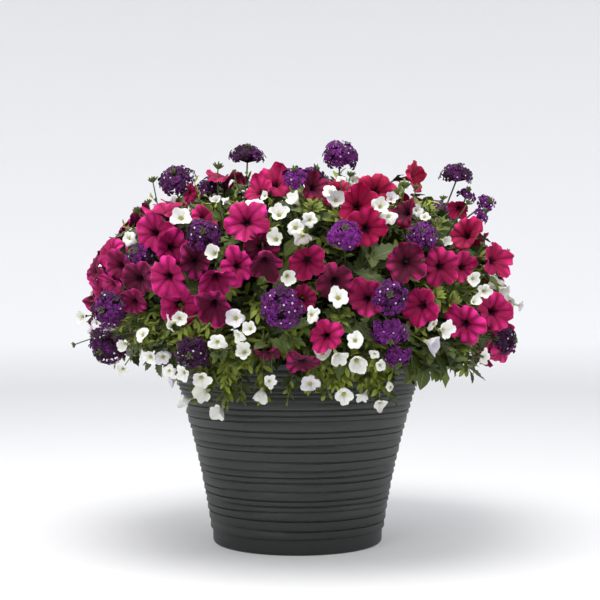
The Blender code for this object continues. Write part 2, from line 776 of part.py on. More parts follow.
def hull_faces(directions):
    """The triangles that join directions on a ball to their neighbours."""
    shape = bmesh.new()
    for d in directions:
        shape.verts.new(tuple(d))
    shape.verts.ensure_lookup_table()
    shape.verts.index_update()
    bmesh.ops.convex_hull(shape, input=shape.verts)
    bmesh.ops.triangulate(shape, faces=shape.faces)
    made = [tuple(v.index for v in face.verts) for face in shape.faces]
    shape.free()
    return made


LEAF_OUTLINES = {
    "petunia": ((0.28, 0.80), (0.62, 0.92)),
    "verbena": ((0.26, 0.62), (0.40, 0.42), (0.58, 1.0), (0.70, 0.46)),
    "calibrachoa": ((0.55, 1.0),),
}


def leaf(kind, root, along, upward, scale):
    """A thin arched blade, folded along its rib, with its root in the stem."""
    length, width = (scale * s for s in LEAF_SIZES[kind])
    along = along.normalized()
    beside = along.cross(upward).normalized()
    above = beside.cross(along).normalized()

    def spot(t, side, lift=0.0):
        arch = length * (0.16 * math.sin(math.pi * min(1.0, t * 0.9)) - 0.10 * t * t)
        return root + along * (length * t) + beside * (side * width / 2) + above * (arch + lift)

    blade = Solid()
    half = LEAF_OUTLINES[kind]
    edge = [root - LEAF_ROOT * (beside + above)]
    edge += [spot(t, -side, 0.03 * width) for t, side in half]
    edge.append(spot(1, 0))
    edge += [spot(t, side, 0.03 * width) for t, side in reversed(half)]
    edge.append(root + LEAF_ROOT * (beside - above))
    rim = blade.ring(edge)
    crown = blade.point(root + LEAF_ROOT * above)
    fold = -0.06 * width
    blade.fan(rim + [crown], blade.point(spot(0.45, 0, LEAF_THICKNESS / 2 + fold)), GREEN)
    blade.fan(rim, blade.point(spot(0.45, 0, -LEAF_THICKNESS / 2 + fold)), GREEN)
    blade.face((rim[0], rim[-1], crown), GREEN)
    return blade


# Shoots


class Occupied:
    """What the shoots made so far take up, to keep the next piece clear of it."""

    def __init__(self):
        self.owners = []
        self.trees = []
        self.lows = np.zeros((0, 3))
        self.highs = np.zeros((0, 3))

    def add(self, owner, solid):
        low, high = solid.bounds()
        self.owners.append(owner)
        self.trees.append(solid.tree())
        self.lows = np.vstack([self.lows, low])
        self.highs = np.vstack([self.highs, high])

    def touched_by(self, owner, solid, own_price=0.0):
        """How many pieces of other shoots this solid would cut, its own shoot's counted at their price."""
        low, high = solid.bounds()
        near = np.where(((self.lows <= high) & (self.highs >= low)).all(axis=1))[0]
        near = [k for k in near if own_price or self.owners[k] != owner]
        tree = solid.tree() if near else None
        return sum(own_price if self.owners[k] == owner else 1 for k in near if self.trees[k].overlap(tree))


def fat_tube(path, radius):
    tube = Solid()
    tube.tube_on(None, path, radius + 2.2 * CLEARANCE, GREEN, sides=4)
    return tube


def around(direction, sizes):
    """Sideways offsets square to a direction, the smallest first."""
    side = direction.orthogonal().normalized()
    other = direction.cross(side).normalized()
    yield Vector((0, 0, 0))
    for size in sizes:
        for k in range(8):
            angle = TAU * k / 8 + size
            yield size * (math.cos(angle) * side + math.sin(angle) * other)


def best(owner, occupied, candidates, own_price=0.0, grow=None):
    """The first candidate path that is clear, with what grows on it, or the one that cuts the fewest."""
    least, kept = None, None
    for path, radius in candidates:
        cuts = occupied.touched_by(owner, fat_tube(path, radius), own_price)
        if cuts < 1 and grow:
            made = grow(path)
            cuts += occupied.touched_by(owner, made) + made.crosses_itself()
        if least is None or cuts < least:
            least, kept = cuts, path
        if cuts == 0:
            break
    return kept, least


def root_places(shoots):
    """Where each shoot stands in the soil: towards its flowers, and clear of the other roots."""
    places = []
    for _, group in shoots:
        middle = np.mean([f.place for f in group], axis=0)
        level = math.hypot(middle[0], middle[1])
        share = 0.03 + (ROOT_RADIUS_MOST - 0.03) * min(1.0, level / MOUND_RADIUS)
        places.append(middle[:2] / max(level, 1e-6) * share)
    places = np.array(places)
    for _ in range(200):
        apart = places[:, None] - places[None]
        gap = np.linalg.norm(apart, axis=2) + np.eye(len(places))
        short = np.clip(ROOT_SPACING - gap, 0, None) * (1 - np.eye(len(places)))
        places += (apart / gap[:, :, None] * short[:, :, None]).sum(axis=1) * 0.5
        level = np.linalg.norm(places, axis=1)
        places *= (np.minimum(level, ROOT_RADIUS_MOST) / level)[:, None]
    return places


# How far a stem stands straight out of the soil, which hubs are low enough to be reached over the rim,
# and how high the curve there is pulled, at its start and at its end
STEM_FOOT = 0.004
LOW_HUB = 0.05
RISE_PULL = 0.085
OVER_PULL = 0.075


def stem_path(root, hub, bow):
    """From the hole in the soil straight up, then in one curve to the middle of the shoot's flowers."""
    low = Vector((*root, SOIL_EDGE_HEIGHT - HOLE_DEPTH))
    start = Vector((*root, SOIL_EDGE_HEIGHT + SOIL_CROWN + STEM_FOOT))
    outward = Vector((hub.x, hub.y, 0)).normalized()
    if hub.z < POT_HEIGHT + LOW_HUB:
        over = Vector((hub.x, hub.y, 0)) - outward * 0.02 + Vector((0, 0, max(hub.z, POT_HEIGHT) + OVER_PULL))
        rise = start + Vector((0, 0, RISE_PULL)) + outward * 0.01
    else:
        over = hub - outward * 0.05 - Vector((0, 0, 0.02))
        rise = start + Vector((0, 0, 0.35 * (hub.z - start.z) + 0.02))
    return [low, start] + bezier(start, rise + bow, over + bow, hub, STEM_STEPS)


def stalk_candidates(flower, stem, radius, wished):
    """Ways from the back of a flower to a point along the stem, at first where it is wished."""
    end = behind(flower, TUBE_END[flower.kind])
    back = -Vector(flower.facing)
    for size in (0.0, 0.010, 0.020, 0.032, 0.050, 0.070):
        for bow in around(back, (size,) if size else ()):
            for share in (wished, wished - 0.07, min(0.98, wished + 0.07), 0.6, 0.45, 0.3, 0.2):
                root = along_path(stem, share)
                reach = (root - end).length
                steps = 1 if reach < STRAIGHT_REACH else 2
                curve = bezier(end, end + back * (0.35 * reach) + bow, root.lerp(end, 0.3) + bow, root, steps)
                yield [end] + curve, radius


def along_path(path, share):
    """The point at this share of a stem's length above the soil."""
    lengths = [(b - a).length for a, b in zip(path[1:], path[2:])]
    left = share * sum(lengths)
    for a, b, length in zip(path[1:], path[2:], lengths):
        if left <= length:
            return a.lerp(b, left / length)
        left -= length
    return path[-1]


BLOOMS = {"petunia": petunia_bloom, "verbena": verbena_head, "calibrachoa": calibrachoa_bloom}
LIMB_SHRINK = 0.93
NUDGE_SHRINK = 0.985
HUB_INSET = {"petunia": 0.045, "verbena": 0.045, "calibrachoa": 0.03}


def clear_limbs(shoots, occupied):
    """Makes a flower that still cuts another shoot's a little smaller until it is clear, and notes them all."""
    for owner, group in shoots:
        for flower in group:
            for _ in range(7):
                stub = [behind(flower, TUBE_END[flower.kind]), behind(flower, TUBE_END[flower.kind] + 0.1)]
                solid = BLOOMS[flower.kind](flower, stub)
                if not occupied.touched_by(owner, solid):
                    break
                flower.radius *= LIMB_SHRINK
            occupied.add(owner, solid)


def make_shoots(shoots, roots, paints):
    roots = [(float(x), float(y)) for x, y in roots]
    occupied = Occupied()
    occupied.add(-1, pot_guard())
    clear_limbs(shoots, occupied)
    stems, trouble = [], []
    for (owner, group), root in zip(shoots, roots):
        kind = group[0].kind
        necks = [np.array(behind(f, TUBE_END[kind] + 0.3)) for f in group]
        hub = Vector(np.mean(necks, axis=0))
        inward = Vector((0, 0, MOUND_MIDDLE + 0.02)) - hub
        if hub.z > POT_HEIGHT + 0.03:
            hub += inward.normalized() * HUB_INSET[kind]
        candidates = ((stem_path(root, hub, bow), STEM_RADIUS[kind])
                      for bow in around(Vector((0, 0, 1)), (0.012, 0.024, 0.04)))
        stem, cuts = best(owner, occupied, candidates)
        tube = Solid()
        tube.tube_on(None, stem, STEM_RADIUS[kind], GREEN)
        occupied.add(owner, tube)
        stems.append((owner, group, stem, tube))
        if cuts:
            trouble.append((owner, kind, "stem", cuts))
    plants = []
    for owner, group, stem, tube in stems:
        kind = group[0].kind
        pieces = [tube]
        stalks = [stem]
        ordered = sorted(group, key=lambda f: (Vector(f.place) - stem[-1]).length)
        for rank, flower in enumerate(ordered):
            wished = 0.97 - 0.5 * rank / len(ordered)
            start = flower.place
            for nudge in around(Vector(flower.facing), NUDGES):
                flower.place = start + np.array(nudge) + 0.5 * nudge.length * flower.facing
                candidates = stalk_candidates(flower, stem, STALK_RADIUS[kind], wished)
                stalk, cuts = best(owner, occupied, candidates, OWN_PRICE, partial(BLOOMS[kind], flower))
                if cuts < 1:
                    break
                flower.radius *= NUDGE_SHRINK
            if cuts >= 1:
                trouble.append((owner, kind, flower.number, cuts))
                continue
            made = BLOOMS[kind](flower, stalk)
            pieces.append(made)
            occupied.add(owner, made)
            stalks.append([stem[-1], *reversed(stalk)])
        plants.append((owner, kind, pieces, stalks))
    for owner, kind, pieces, stalks in plants:
        pieces += leaves_for(owner, kind, stalks, occupied)
        join(f"{kind}_shoot_{owner:02d}", pieces, paints[kind])
    print("pieces that found no clear way:", trouble)


def leaves_for(owner, kind, stalks, occupied):
    """Leaves along the stem and side stems, turned until they are clear of everything."""
    rng = np.random.default_rng(400 + owner)
    made = []
    for k in range(LEAVES_A_SHOOT[kind] * LEAF_TRIES):
        path = stalks[k % len(stalks)]
        share = rng.uniform(0.45, 0.95) if path is stalks[0] else rng.uniform(0.35, 0.8)
        spot = along_path(path, share)
        for _ in range(6):
            direction = Vector(unit(mound_normal(spot) + rng.normal(0, 0.75, 3)))
            upward = Vector((0, 0, 1)) + Vector(rng.normal(0, 0.2, 3))
            blade = leaf(kind, spot, direction, upward, rng.uniform(0.8, 1.1))
            grown = leaf(kind, spot, direction, Vector((0, 0, 1)), 1.15)
            if not occupied.touched_by(owner, blade) and not occupied.touched_by(owner, grown):
                made.append(blade)
                occupied.add(owner, blade)
                break
        if len(made) >= LEAVES_A_SHOOT[kind]:
            break
    return made


def pot_guard():
    """A plain stand-in for the pot's wall and rim, a little thicker, to keep the shoots clear of it."""
    guard = Solid()
    outside = [(wall_radius(z) + 0.002, z) for z in (0.0, 0.1, 0.18, 0.22, POT_HEIGHT)]
    inside = [(inner_radius(z) - 0.002, z) for z in (POT_HEIGHT, 0.22)]
    rings = []
    for r, z in outside + [(r, z + 0.001) for r, z in inside]:
        rings.append(guard.ring((r * math.cos(TAU * k / SEGMENTS), r * math.sin(TAU * k / SEGMENTS), z)
                                for k in range(SEGMENTS)))
    for a, b in zip(rings, rings[1:]):
        guard.zip(a, b, GREEN)
    return guard


def lay_out():
    flowers = near_side()
    far_side(flowers)
    settle(flowers)
    return flowers


def main():
    clear_scene()
    plastic = material("pot_plastic", (0.035, 0.042, 0.038), 0.55)
    earth = material("potting_soil", (0.035, 0.022, 0.014), 0.95)
    green = material("leaf_green", (0.06, 0.16, 0.03), 0.55)
    magenta = material("petunia_petal", (0.48, 0.005, 0.10), 0.5)
    purple = material("verbena_petal", (0.055, 0.006, 0.12), 0.5)
    white = material("calibrachoa_petal", (0.82, 0.82, 0.78), 0.5)
    paints = {"petunia": [green, magenta], "verbena": [green, purple], "calibrachoa": [green, white]}
    flowers = lay_out()
    shared = []
    for kind, count in SHOOTS.items():
        shared += groups([f for f in flowers if f.kind == kind], count)
    shoots = list(enumerate(shared, start=1))
    roots = root_places(shoots)
    make_pot(plastic)
    make_soil([(*root, STEM_RADIUS[group[0].kind]) for (_, group), root in zip(shoots, roots)], earth)
    make_shoots(shoots, roots, paints)


main()
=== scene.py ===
"""A ribbed patio pot full of petunias, verbenas and trailing calibrachoas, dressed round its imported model."""

import json
import math

import bmesh
import bpy
import numpy as np
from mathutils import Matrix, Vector

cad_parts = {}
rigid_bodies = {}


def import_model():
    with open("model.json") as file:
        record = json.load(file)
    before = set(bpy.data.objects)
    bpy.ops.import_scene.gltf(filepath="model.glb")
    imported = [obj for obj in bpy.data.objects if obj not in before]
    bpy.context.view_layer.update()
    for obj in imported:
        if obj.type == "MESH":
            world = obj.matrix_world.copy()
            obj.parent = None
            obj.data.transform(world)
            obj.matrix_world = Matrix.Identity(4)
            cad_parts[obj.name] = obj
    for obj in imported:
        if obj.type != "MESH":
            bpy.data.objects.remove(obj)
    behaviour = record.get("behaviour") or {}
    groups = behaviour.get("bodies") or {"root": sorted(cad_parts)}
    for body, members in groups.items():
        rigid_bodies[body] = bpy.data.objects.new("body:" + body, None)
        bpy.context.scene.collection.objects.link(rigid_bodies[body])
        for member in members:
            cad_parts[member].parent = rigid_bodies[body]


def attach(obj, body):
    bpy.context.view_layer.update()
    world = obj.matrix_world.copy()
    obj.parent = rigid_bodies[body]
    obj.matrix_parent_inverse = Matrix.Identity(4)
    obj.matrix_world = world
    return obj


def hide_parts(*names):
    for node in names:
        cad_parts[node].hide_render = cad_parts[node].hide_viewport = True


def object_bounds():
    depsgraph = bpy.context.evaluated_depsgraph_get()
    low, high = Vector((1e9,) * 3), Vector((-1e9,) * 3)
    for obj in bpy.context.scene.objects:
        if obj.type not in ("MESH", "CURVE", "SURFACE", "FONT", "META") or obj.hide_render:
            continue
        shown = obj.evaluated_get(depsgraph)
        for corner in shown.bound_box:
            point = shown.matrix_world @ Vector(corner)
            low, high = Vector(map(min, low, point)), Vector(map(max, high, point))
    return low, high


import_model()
cad_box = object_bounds()

# The view: a camera held level in front of the planting, a little above the rim of the pot. Its long lens
# gives the weak perspective of the picture.

EYE_DISTANCE = 1.82
EYE_HEIGHT = 0.336
EYE_SIDE = 0.0035
LENS = 78
SENSOR = 36

camera = bpy.data.objects.new("camera", bpy.data.cameras.new("camera"))
camera.data.lens = LENS
camera.data.sensor_width = SENSOR
camera.location = (EYE_SIDE, -EYE_DISTANCE, EYE_HEIGHT)
camera.rotation_euler = (math.radians(90), 0, 0)
bpy.context.scene.collection.objects.link(camera)
bpy.context.scene.camera = camera
bpy.context.scene.view_settings.view_transform = "Standard"

# The studio: a white paper sweep that runs from the floor up behind the pot and glows a little, and three
# large soft lamps over it, in front of it and to its right.

TAU = 2 * math.pi
FLOOR_REACH = 3.2
SWEEP_RADIUS = 1.6
SWEEP_TOP = 4.0
SWEEP_SIDES = 64
SWEEP_BENDS = 13
SWEEP_MIDDLE = 0.02
PAPER = (0.66, 0.66, 0.66)
GLOW_REACH = 2.6
GLOW = (
    (0.0, (0.16, 0.16, 0.165)), (0.06, (0.31, 0.31, 0.33)),
    (0.70, (0.175, 0.175, 0.19)), (1.0, (0.155, 0.155, 0.17)),
)
NO_MARKS = (0, 0, 0, 0)


def seen(red, green, blue):
    """A colour as the eye reads it, from 0 to 255, made linear for a shader."""
    shares = (red / 255, green / 255, blue / 255)
    return tuple(c / 12.92 if c <= 10 / 255 else ((c + 0.055) / 1.055) ** 2.4 for c in shares)


class Strand:
    """One output of a material's nodes. Sums and products of strands and numbers add Math nodes."""

    def __init__(self, finish, socket):
        self.finish = finish
        self.socket = socket

    def work(self, operation, first, second):
        return self.finish.node("ShaderNodeMath", {"operation": operation}, {0: first, 1: second})

    def __add__(self, other):
        return self.work("ADD", self, other)

    def __radd__(self, other):
        return self.work("ADD", other, self)

    def __sub__(self, other):
        return self.work("SUBTRACT", self, other)

    def __rsub__(self, other):
        return self.work("SUBTRACT", other, self)

    def __mul__(self, other):
        return self.work("MULTIPLY", self, other)

    def __rmul__(self, other):
        return self.work("MULTIPLY", other, self)

    def __truediv__(self, other):
        return self.work("DIVIDE", self, other)

    def __pow__(self, other):
        return self.work("POWER", self, other)

    def sine(self):
        return self.finish.node("ShaderNodeMath", {"operation": "SINE"}, {0: self})


class Finish:
    """A material made of nodes round one Principled shader."""

    def __init__(self, name):
        self.material = bpy.data.materials.new(name)
        self.material.use_nodes = True
        self.tree = self.material.node_tree
        self.shader = self.tree.nodes["Principled BSDF"]

    def feed(self, socket, value):
        if isinstance(value, Strand):
            self.tree.links.new(value.socket, socket)
        elif isinstance(value, tuple) and len(value) == 3 and socket.type == "RGBA":
            socket.default_value = (*value, 1.0)
        else:
            socket.default_value = value

    def node(self, kind, settings, values, out=0):
        made = self.tree.nodes.new(kind)
        for name, setting in settings.items():
            if name == "stops":
                ramp = made.color_ramp
                ramp.elements[0].position, ramp.elements[0].color = setting[0][0], (*setting[0][1], 1.0)
                ramp.elements[1].position, ramp.elements[1].color = setting[-1][0], (*setting[-1][1], 1.0)
                for place, colour in setting[1:-1]:
                    ramp.elements.new(place).color = (*colour, 1.0)
            else:
                setattr(made, name, setting)
        for name, value in values.items():
            self.feed(made.inputs[name], value)
        return Strand(self, made.outputs[out])

    def mix(self, share, first, second):
        return self.node("ShaderNodeMix", {"data_type": "RGBA"}, {0: share, 6: first, 7: second}, out=2)

    def between(self, value, low, high):
        """0 below low, 1 above high, smooth in between."""
        settings = {"interpolation_type": "SMOOTHSTEP"}
        return self.node("ShaderNodeMapRange", settings, {"Value": value, 1: low, 2: high})

    def noise(self, scale, detail, roughness=0.5):
        place = self.node("ShaderNodeTexCoord", {}, {}, out="Object")
        values = {"Vector": place, "Scale": scale, "Detail": detail, "Roughness": roughness}
        return self.node("ShaderNodeTexNoise", {}, values)

    def bump(self, height, strength, distance):
        values = {"Height": height, "Strength": strength, "Distance": distance}
        return self.node("ShaderNodeBump", {}, values)

    def paint(self, **sockets):
        for name, value in sockets.items():
            self.feed(self.shader.inputs[name.replace("_", " ")], value)


def round_angles(sides):
    return np.arange(sides) / sides * TAU


def ring(radius, angles, height):
    """Points round an upright axis, each at its radius, angle and height."""
    return np.stack([radius * np.cos(angles), radius * np.sin(angles), height + 0 * angles], axis=-1)


def grid_faces(rows, columns, wrapped=True):
    """The quads of a grid of points, row by row; a wrapped grid closes on itself round each row."""
    last = columns if wrapped else columns - 1
    row, column = np.meshgrid(np.arange(rows - 1), np.arange(last), indexing="ij")
    beside = (column + 1) % columns
    here, above = row * columns, (row + 1) * columns
    corners = (here + column, here + beside, above + beside, above + column)
    return np.stack([corner.ravel() for corner in corners], axis=1)


class Growth:
    """Gathers the patches of one piece. Each point has four marks, which its material reads:
    how far along the patch it is, how far across, a random shade, and an age or tone; on leaves the age
    also carries painted shade."""

    def __init__(self):
        self.points = []
        self.faces = []
        self.marks = []
        self.count = 0

    def add(self, points, faces, marks):
        points = np.asarray(points, float).reshape(-1, 3)
        self.points.append(points)
        self.marks.append(np.broadcast_to(marks, (len(points), 4)))
        self.faces.append(np.asarray(faces) + self.count)
        self.count += len(points)

    def add_many(self, points, faces, marks):
        """Copies of one patch: points and marks have a first axis for the copies."""
        copies, size = points.shape[:2]
        steps = (np.arange(copies) * size)[:, None, None]
        self.add(points, (np.asarray(faces)[None] + steps).reshape(-1, faces.shape[1]), marks.reshape(-1, 4))

    def piece(self, name, finish, smooth=True):
        mesh = bpy.data.meshes.new(name)
        faces = [face for block in self.faces for face in block.tolist()]
        mesh.from_pydata(np.concatenate(self.points).tolist(), [], faces)
        marks = mesh.attributes.new("growth", "FLOAT_COLOR", "POINT")
        marks.data.foreach_set("color", np.concatenate(self.marks).astype(np.float32).ravel())
        if smooth:
            mesh.shade_smooth()
        mesh.materials.append(finish.material)
        made = bpy.data.objects.new(name, mesh)
        bpy.context.scene.collection.objects.link(made)
        return made


bends = np.linspace(0, TAU / 4, SWEEP_BENDS)
bend = [(FLOOR_REACH + SWEEP_RADIUS * math.sin(a), SWEEP_RADIUS * (1 - math.cos(a))) for a in bends]
line = [(SWEEP_MIDDLE, 0.0), (FLOOR_REACH * 0.5, 0.0), *bend, (bend[-1][0], SWEEP_TOP)]
sweep_rows = [ring(reach, round_angles(SWEEP_SIDES), z) for reach, z in line]
middle_faces = [(0, k + 1, (k + 1) % SWEEP_SIDES + 1) for k in range(SWEEP_SIDES)]
sweep = Growth()
sweep.add(np.concatenate(sweep_rows), grid_faces(len(line), SWEEP_SIDES), NO_MARKS)
sweep.add([(0, 0, 0), *sweep_rows[0]], middle_faces, NO_MARKS)
white_paper = Finish("white_paper")
height = white_paper.node("ShaderNodeTexCoord", {}, {}, out="Object")
height = white_paper.node("ShaderNodeSeparateXYZ", {}, {"Vector": height}, out="Z")
# Painted light: the paper glows, brightest just above the floor and dimmer up the wall, as if lit.
glow = white_paper.node("ShaderNodeValToRGB", {"stops": GLOW}, {"Fac": height / GLOW_REACH})
white_paper.paint(
    Base_Color=PAPER, Roughness=0.9, Specular_IOR_Level=0.1, Emission_Color=glow, Emission_Strength=1.0
)
backdrop = sweep.piece("backdrop", white_paper)


def lamp(name, place, aim, size, power, tint):
    light = bpy.data.lights.new(name, "AREA")
    light.shape = "RECTANGLE"
    light.size, light.size_y = size
    light.energy = power
    light.color = tint
    holder = bpy.data.objects.new(name, light)
    holder.location = place
    holder.rotation_euler = (Vector(aim) - Vector(place)).to_track_quat("-Z", "Y").to_euler()
    bpy.context.scene.collection.objects.link(holder)


lamp("top_softbox", (-0.25, -0.7, 2.2), (0, 0, 0.3), (1.5, 1.2), 40, (1.0, 0.99, 0.97))
lamp("front_softbox", (-1.3, -2.4, 1.4), (0, 0, 0.35), (1.6, 1.2), 16, (1.0, 0.99, 0.98))
lamp("right_softbox", (2.3, -0.6, 1.1), (0, 0, 0.3), (1.4, 1.6), 9, (0.98, 0.99, 1.0))

sky = bpy.data.worlds.new("studio_air")
sky.use_nodes = True
sky.node_tree.nodes["Background"].inputs["Color"].default_value = (0.95, 0.97, 1.0, 1.0)
sky.node_tree.nodes["Background"].inputs["Strength"].default_value = 0.9
bpy.context.scene.world = sky

# The pot: dark grey plastic, moulded in one piece with lapped bands round it, wide and narrow by turns.
# Its foot ring and middle pad stand on the floor, and five drainage holes go through the floor between them.

POT_HEIGHT = 0.255
BASE_RADIUS = 0.1176
FLARE_SLOPE = 0.126
FLARE_CURVE = 0.445
WALL = 0.0045
WALL_RECESS = 0.0020
POT_FLOOR = 0.009
RIM_ROUNDING = 0.0009
# How far in the rim's outer bevel, outer edge and inner edge lie
RIM_EDGES = (0.0010, 0.0021, 0.0008)
GROOVE_DEPTH = 0.0023
BAND_LIP = 0.0004
BAND_TUCK = 0.0009
BAND_TUCK_HEIGHT = 0.0013
BAND_WAVER = 0.0005
BAND_HEIGHTS = (
    0.020, 0.032, 0.046, 0.057, 0.065, 0.073, 0.084, 0.096, 0.104, 0.112, 0.124, 0.138, 0.146,
    0.157, 0.165, 0.178, 0.186, 0.194, 0.203, 0.210, 0.216, 0.222, 0.230, 0.238, 0.246,
)
# How each band starts above its groove: height, distance out and mark
BAND_START = (
    (0.0, -GROOVE_DEPTH, 0.0), (0.0010, -GROOVE_DEPTH, 0.05),
    (0.0019, BAND_LIP * 0.4, 0.15), (0.0028, BAND_LIP, 0.3),
)
INSIDE_HEIGHTS = (0.235, 0.21, 0.16, 0.11, 0.06, 0.02)
PLAIN = 2
POT_SIDES = 168
FOOT_BEVEL = 0.005
FOOT_STEPS = 5
FOOT_RING_WIDTH = 0.016
FOOT_PAD_RADIUS = 0.030
UNDERSIDE_RECESS = 0.003
DRAINS = 5
DRAIN_RADIUS = 0.006
DRAIN_CIRCLE = 0.062
DRAIN_SIDES = 24
BORE_SPARE = 0.01
SHARP_EDGE = math.radians(40)


def wall_radius(z):
    return BASE_RADIUS + FLARE_SLOPE * z + FLARE_CURVE * z * z


def inner_radius(z):
    return wall_radius(z) - WALL_RECESS - WALL


def pot_profile():
    """(radius, height, mark) up the outside, over the rim and down the inside. The mark is how far up its
    band a point is, from 0 in the groove under it, or PLAIN."""
    ring_inside = BASE_RADIUS - FOOT_BEVEL - FOOT_RING_WIDTH
    foot = [(0.0, 0.0), (FOOT_PAD_RADIUS, 0.0), (FOOT_PAD_RADIUS, UNDERSIDE_RECESS)]
    foot += [(ring_inside, UNDERSIDE_RECESS), (ring_inside, 0.0)]
    for a in np.linspace(0, TAU / 4, FOOT_STEPS):
        foot.append((BASE_RADIUS - FOOT_BEVEL * (1 - math.sin(a)), FOOT_BEVEL * (1 - math.cos(a))))
    bands = []
    for low, high in zip(BAND_HEIGHTS, (*BAND_HEIGHTS[1:], POT_HEIGHT)):
        rise = high - low
        steps = (*BAND_START, (0.5 * rise, 0.0, 0.6), (rise - BAND_TUCK_HEIGHT, -BAND_TUCK, 0.9))
        bands += [(wall_radius(low + up) + out, low + up, mark) for up, out, mark in steps]
    outer, inner, shoulder = wall_radius(POT_HEIGHT), inner_radius(POT_HEIGHT), POT_HEIGHT - RIM_ROUNDING
    bevel, edge, inner_edge = RIM_EDGES
    inside = [(outer - bevel, shoulder), (outer - edge, POT_HEIGHT)]
    inside += [(inner + inner_edge, POT_HEIGHT), (inner, shoulder)]
    inside += [(inner_radius(z), z) for z in (*INSIDE_HEIGHTS, POT_FLOOR)]
    inside.append((0.0, POT_FLOOR))
    return [(*spot, PLAIN) for spot in foot] + bands + [(*spot, PLAIN) for spot in inside]


def turned(profile, sides, waver):
    """Turns a profile round the upright axis. The first and last points are on the axis."""
    angle = round_angles(sides)
    rows, marks = [], []
    for radius, z, mark in profile[1:-1]:
        band = np.searchsorted(BAND_HEIGHTS, z + 1e-6)
        swing = waver * (np.sin(angle + band * 2.1) + 0.6 * np.sin(3 * angle + band * 4.7))
        rows.append(ring(radius, angle, z + swing * (mark < PLAIN)))
        marks.append(np.tile((mark, z / POT_HEIGHT, 0, 0), (sides, 1)))
    ends = [(0, 0, profile[0][1]), (0, 0, profile[-1][1])]
    turn = np.arange(sides)
    first, last = len(rows) * sides, (len(rows) - 1) * sides
    bottom = np.stack([np.full(sides, first), (turn + 1) % sides, turn], axis=1)
    top = np.stack([np.full(sides, first + 1), last + turn, last + (turn + 1) % sides], axis=1)
    made = Growth()
    marks = np.concatenate([*marks, [(PLAIN, 0, 0, 0)] * 2])
    made.add(np.concatenate([*rows, ends]), grid_faces(len(rows), sides), marks)
    made.faces += [bottom, top]
    return made


def bored(thing, places, radius, sides, low, high):
    """Bores round holes through a piece, and leaves no cutter behind."""
    group = bpy.data.collections.new("bores")
    for x, y in places:
        shape = bmesh.new()
        size = {"radius1": radius, "radius2": radius, "depth": high - low}
        bmesh.ops.create_cone(shape, cap_ends=True, segments=sides, **size)
        bmesh.ops.translate(shape, verts=shape.verts, vec=(x, y, (low + high) / 2))
        mesh = bpy.data.meshes.new("bore")
        shape.to_mesh(mesh)
        shape.free()
        group.objects.link(bpy.data.objects.new("bore", mesh))
    cut = thing.modifiers.new("bores", "BOOLEAN")
    cut.operation, cut.solver = "DIFFERENCE", "MANIFOLD"
    cut.operand_type, cut.collection = "COLLECTION", group
    mesh = bpy.data.meshes.new_from_object(thing.evaluated_get(bpy.context.evaluated_depsgraph_get()))
    thing.modifiers.clear()
    thing.data = mesh
    for bore in list(group.objects):
        bpy.data.objects.remove(bore)
    bpy.data.collections.remove(group)


def marks_of(finish):
    """The four marks of a growth, as strands."""
    colour = finish.node("ShaderNodeAttribute", {"attribute_name": "growth"}, {}, out="Color")
    names = ("Red", "Green", "Blue")
    parts = [finish.node("ShaderNodeSeparateColor", {}, {"Color": colour}, out=name) for name in names]
    return *parts, finish.node("ShaderNodeAttribute", {"attribute_name": "growth"}, {}, out="Alpha")


plastic = Finish("dark_grey_plastic")
up_the_band, up_the_pot, _, _ = marks_of(plastic)
groove_shade = 1 - plastic.between(up_the_band, 0.0, 0.2)
mottle = plastic.noise(26, 5)
dust = plastic.noise(90, 3)
# Painted shade and light: the plastic is darker towards its foot and lighter towards the rim.
body = plastic.mix(up_the_pot**1.8, seen(23, 27, 24), seen(58, 64, 59))
body = plastic.mix(mottle * 0.18, body, seen(58, 64, 59))
# Painted shade: the recessed groove under each band is painted nearly black.
body = plastic.mix(groove_shade * 0.8, body, seen(10, 11, 10))
plastic.paint(
    Base_Color=body,
    Roughness=0.43 + mottle * 0.16,
    Specular_IOR_Level=0.42,
    Normal=plastic.bump(dust, 0.10, 0.0006),
)
pot = turned(pot_profile(), POT_SIDES, BAND_WAVER).piece("ribbed_pot", plastic)
drain_angles = [TAU * k / DRAINS for k in range(DRAINS)]
drain_places = [(DRAIN_CIRCLE * math.cos(a), DRAIN_CIRCLE * math.sin(a)) for a in drain_angles]
bored(pot, drain_places, DRAIN_RADIUS, DRAIN_SIDES, -BORE_SPARE, POT_FLOOR + BORE_SPARE)
pot.data.set_sharp_from_angle(angle=SHARP_EDGE)
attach(pot, "root")
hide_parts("pot")

# The potting soil: moist peat and bark that fills the pot to an inch under its rim. Its top has a low crown
# and is crumbly, and its sides stand a hair off the pot's wall.

SOIL_EDGE_HEIGHT = 0.226
SOIL_CROWN = 0.010
SOIL_GAP = 0.0006
SOIL_SIDES = 96
SOIL_RINGS = 26
SOIL_ROUGHNESS = 0.0011
SOIL_DEPTHS = (0.17, 0.11, 0.06, POT_FLOOR + 0.0003)
CRUMBS = 500
CRUMB_REACH = 0.150
CRUMB_LIFT = 0.0005
CRUMB_SIZES = (0.0012, 0.0042)


def soil_height(radius):
    return SOIL_EDGE_HEIGHT + SOIL_CROWN * (1 - (radius / inner_radius(SOIL_EDGE_HEIGHT)) ** 2)


def crumbs(rng, count):
    """Small lumps of eight faces, squashed and turned at random, half sunk in the soil."""
    ball = np.array([(1, 0, 0), (0, 1, 0), (-1, 0, 0), (0, -1, 0), (0, 0, 1), (0, 0, -1)], float)
    faces = np.array([(k, (k + 1) % 4, 4) for k in range(4)] + [((k + 1) % 4, k, 5) for k in range(4)])
    level = CRUMB_REACH * np.sqrt(rng.random(count))
    angle = rng.random(count) * TAU
    middle = ring(level, angle, soil_height(level) + CRUMB_LIFT)
    size = rng.uniform(*CRUMB_SIZES, count)[:, None, None]
    lumps = ball[None] * rng.uniform(0.6, 1.3, (count, 6, 1)) * size * np.array((1, 1, 0.7)) + middle[:, None]
    marks = np.zeros((count, 6, 4))
    marks[:, :, 2] = rng.random(count)[:, None]
    return lumps, faces, marks


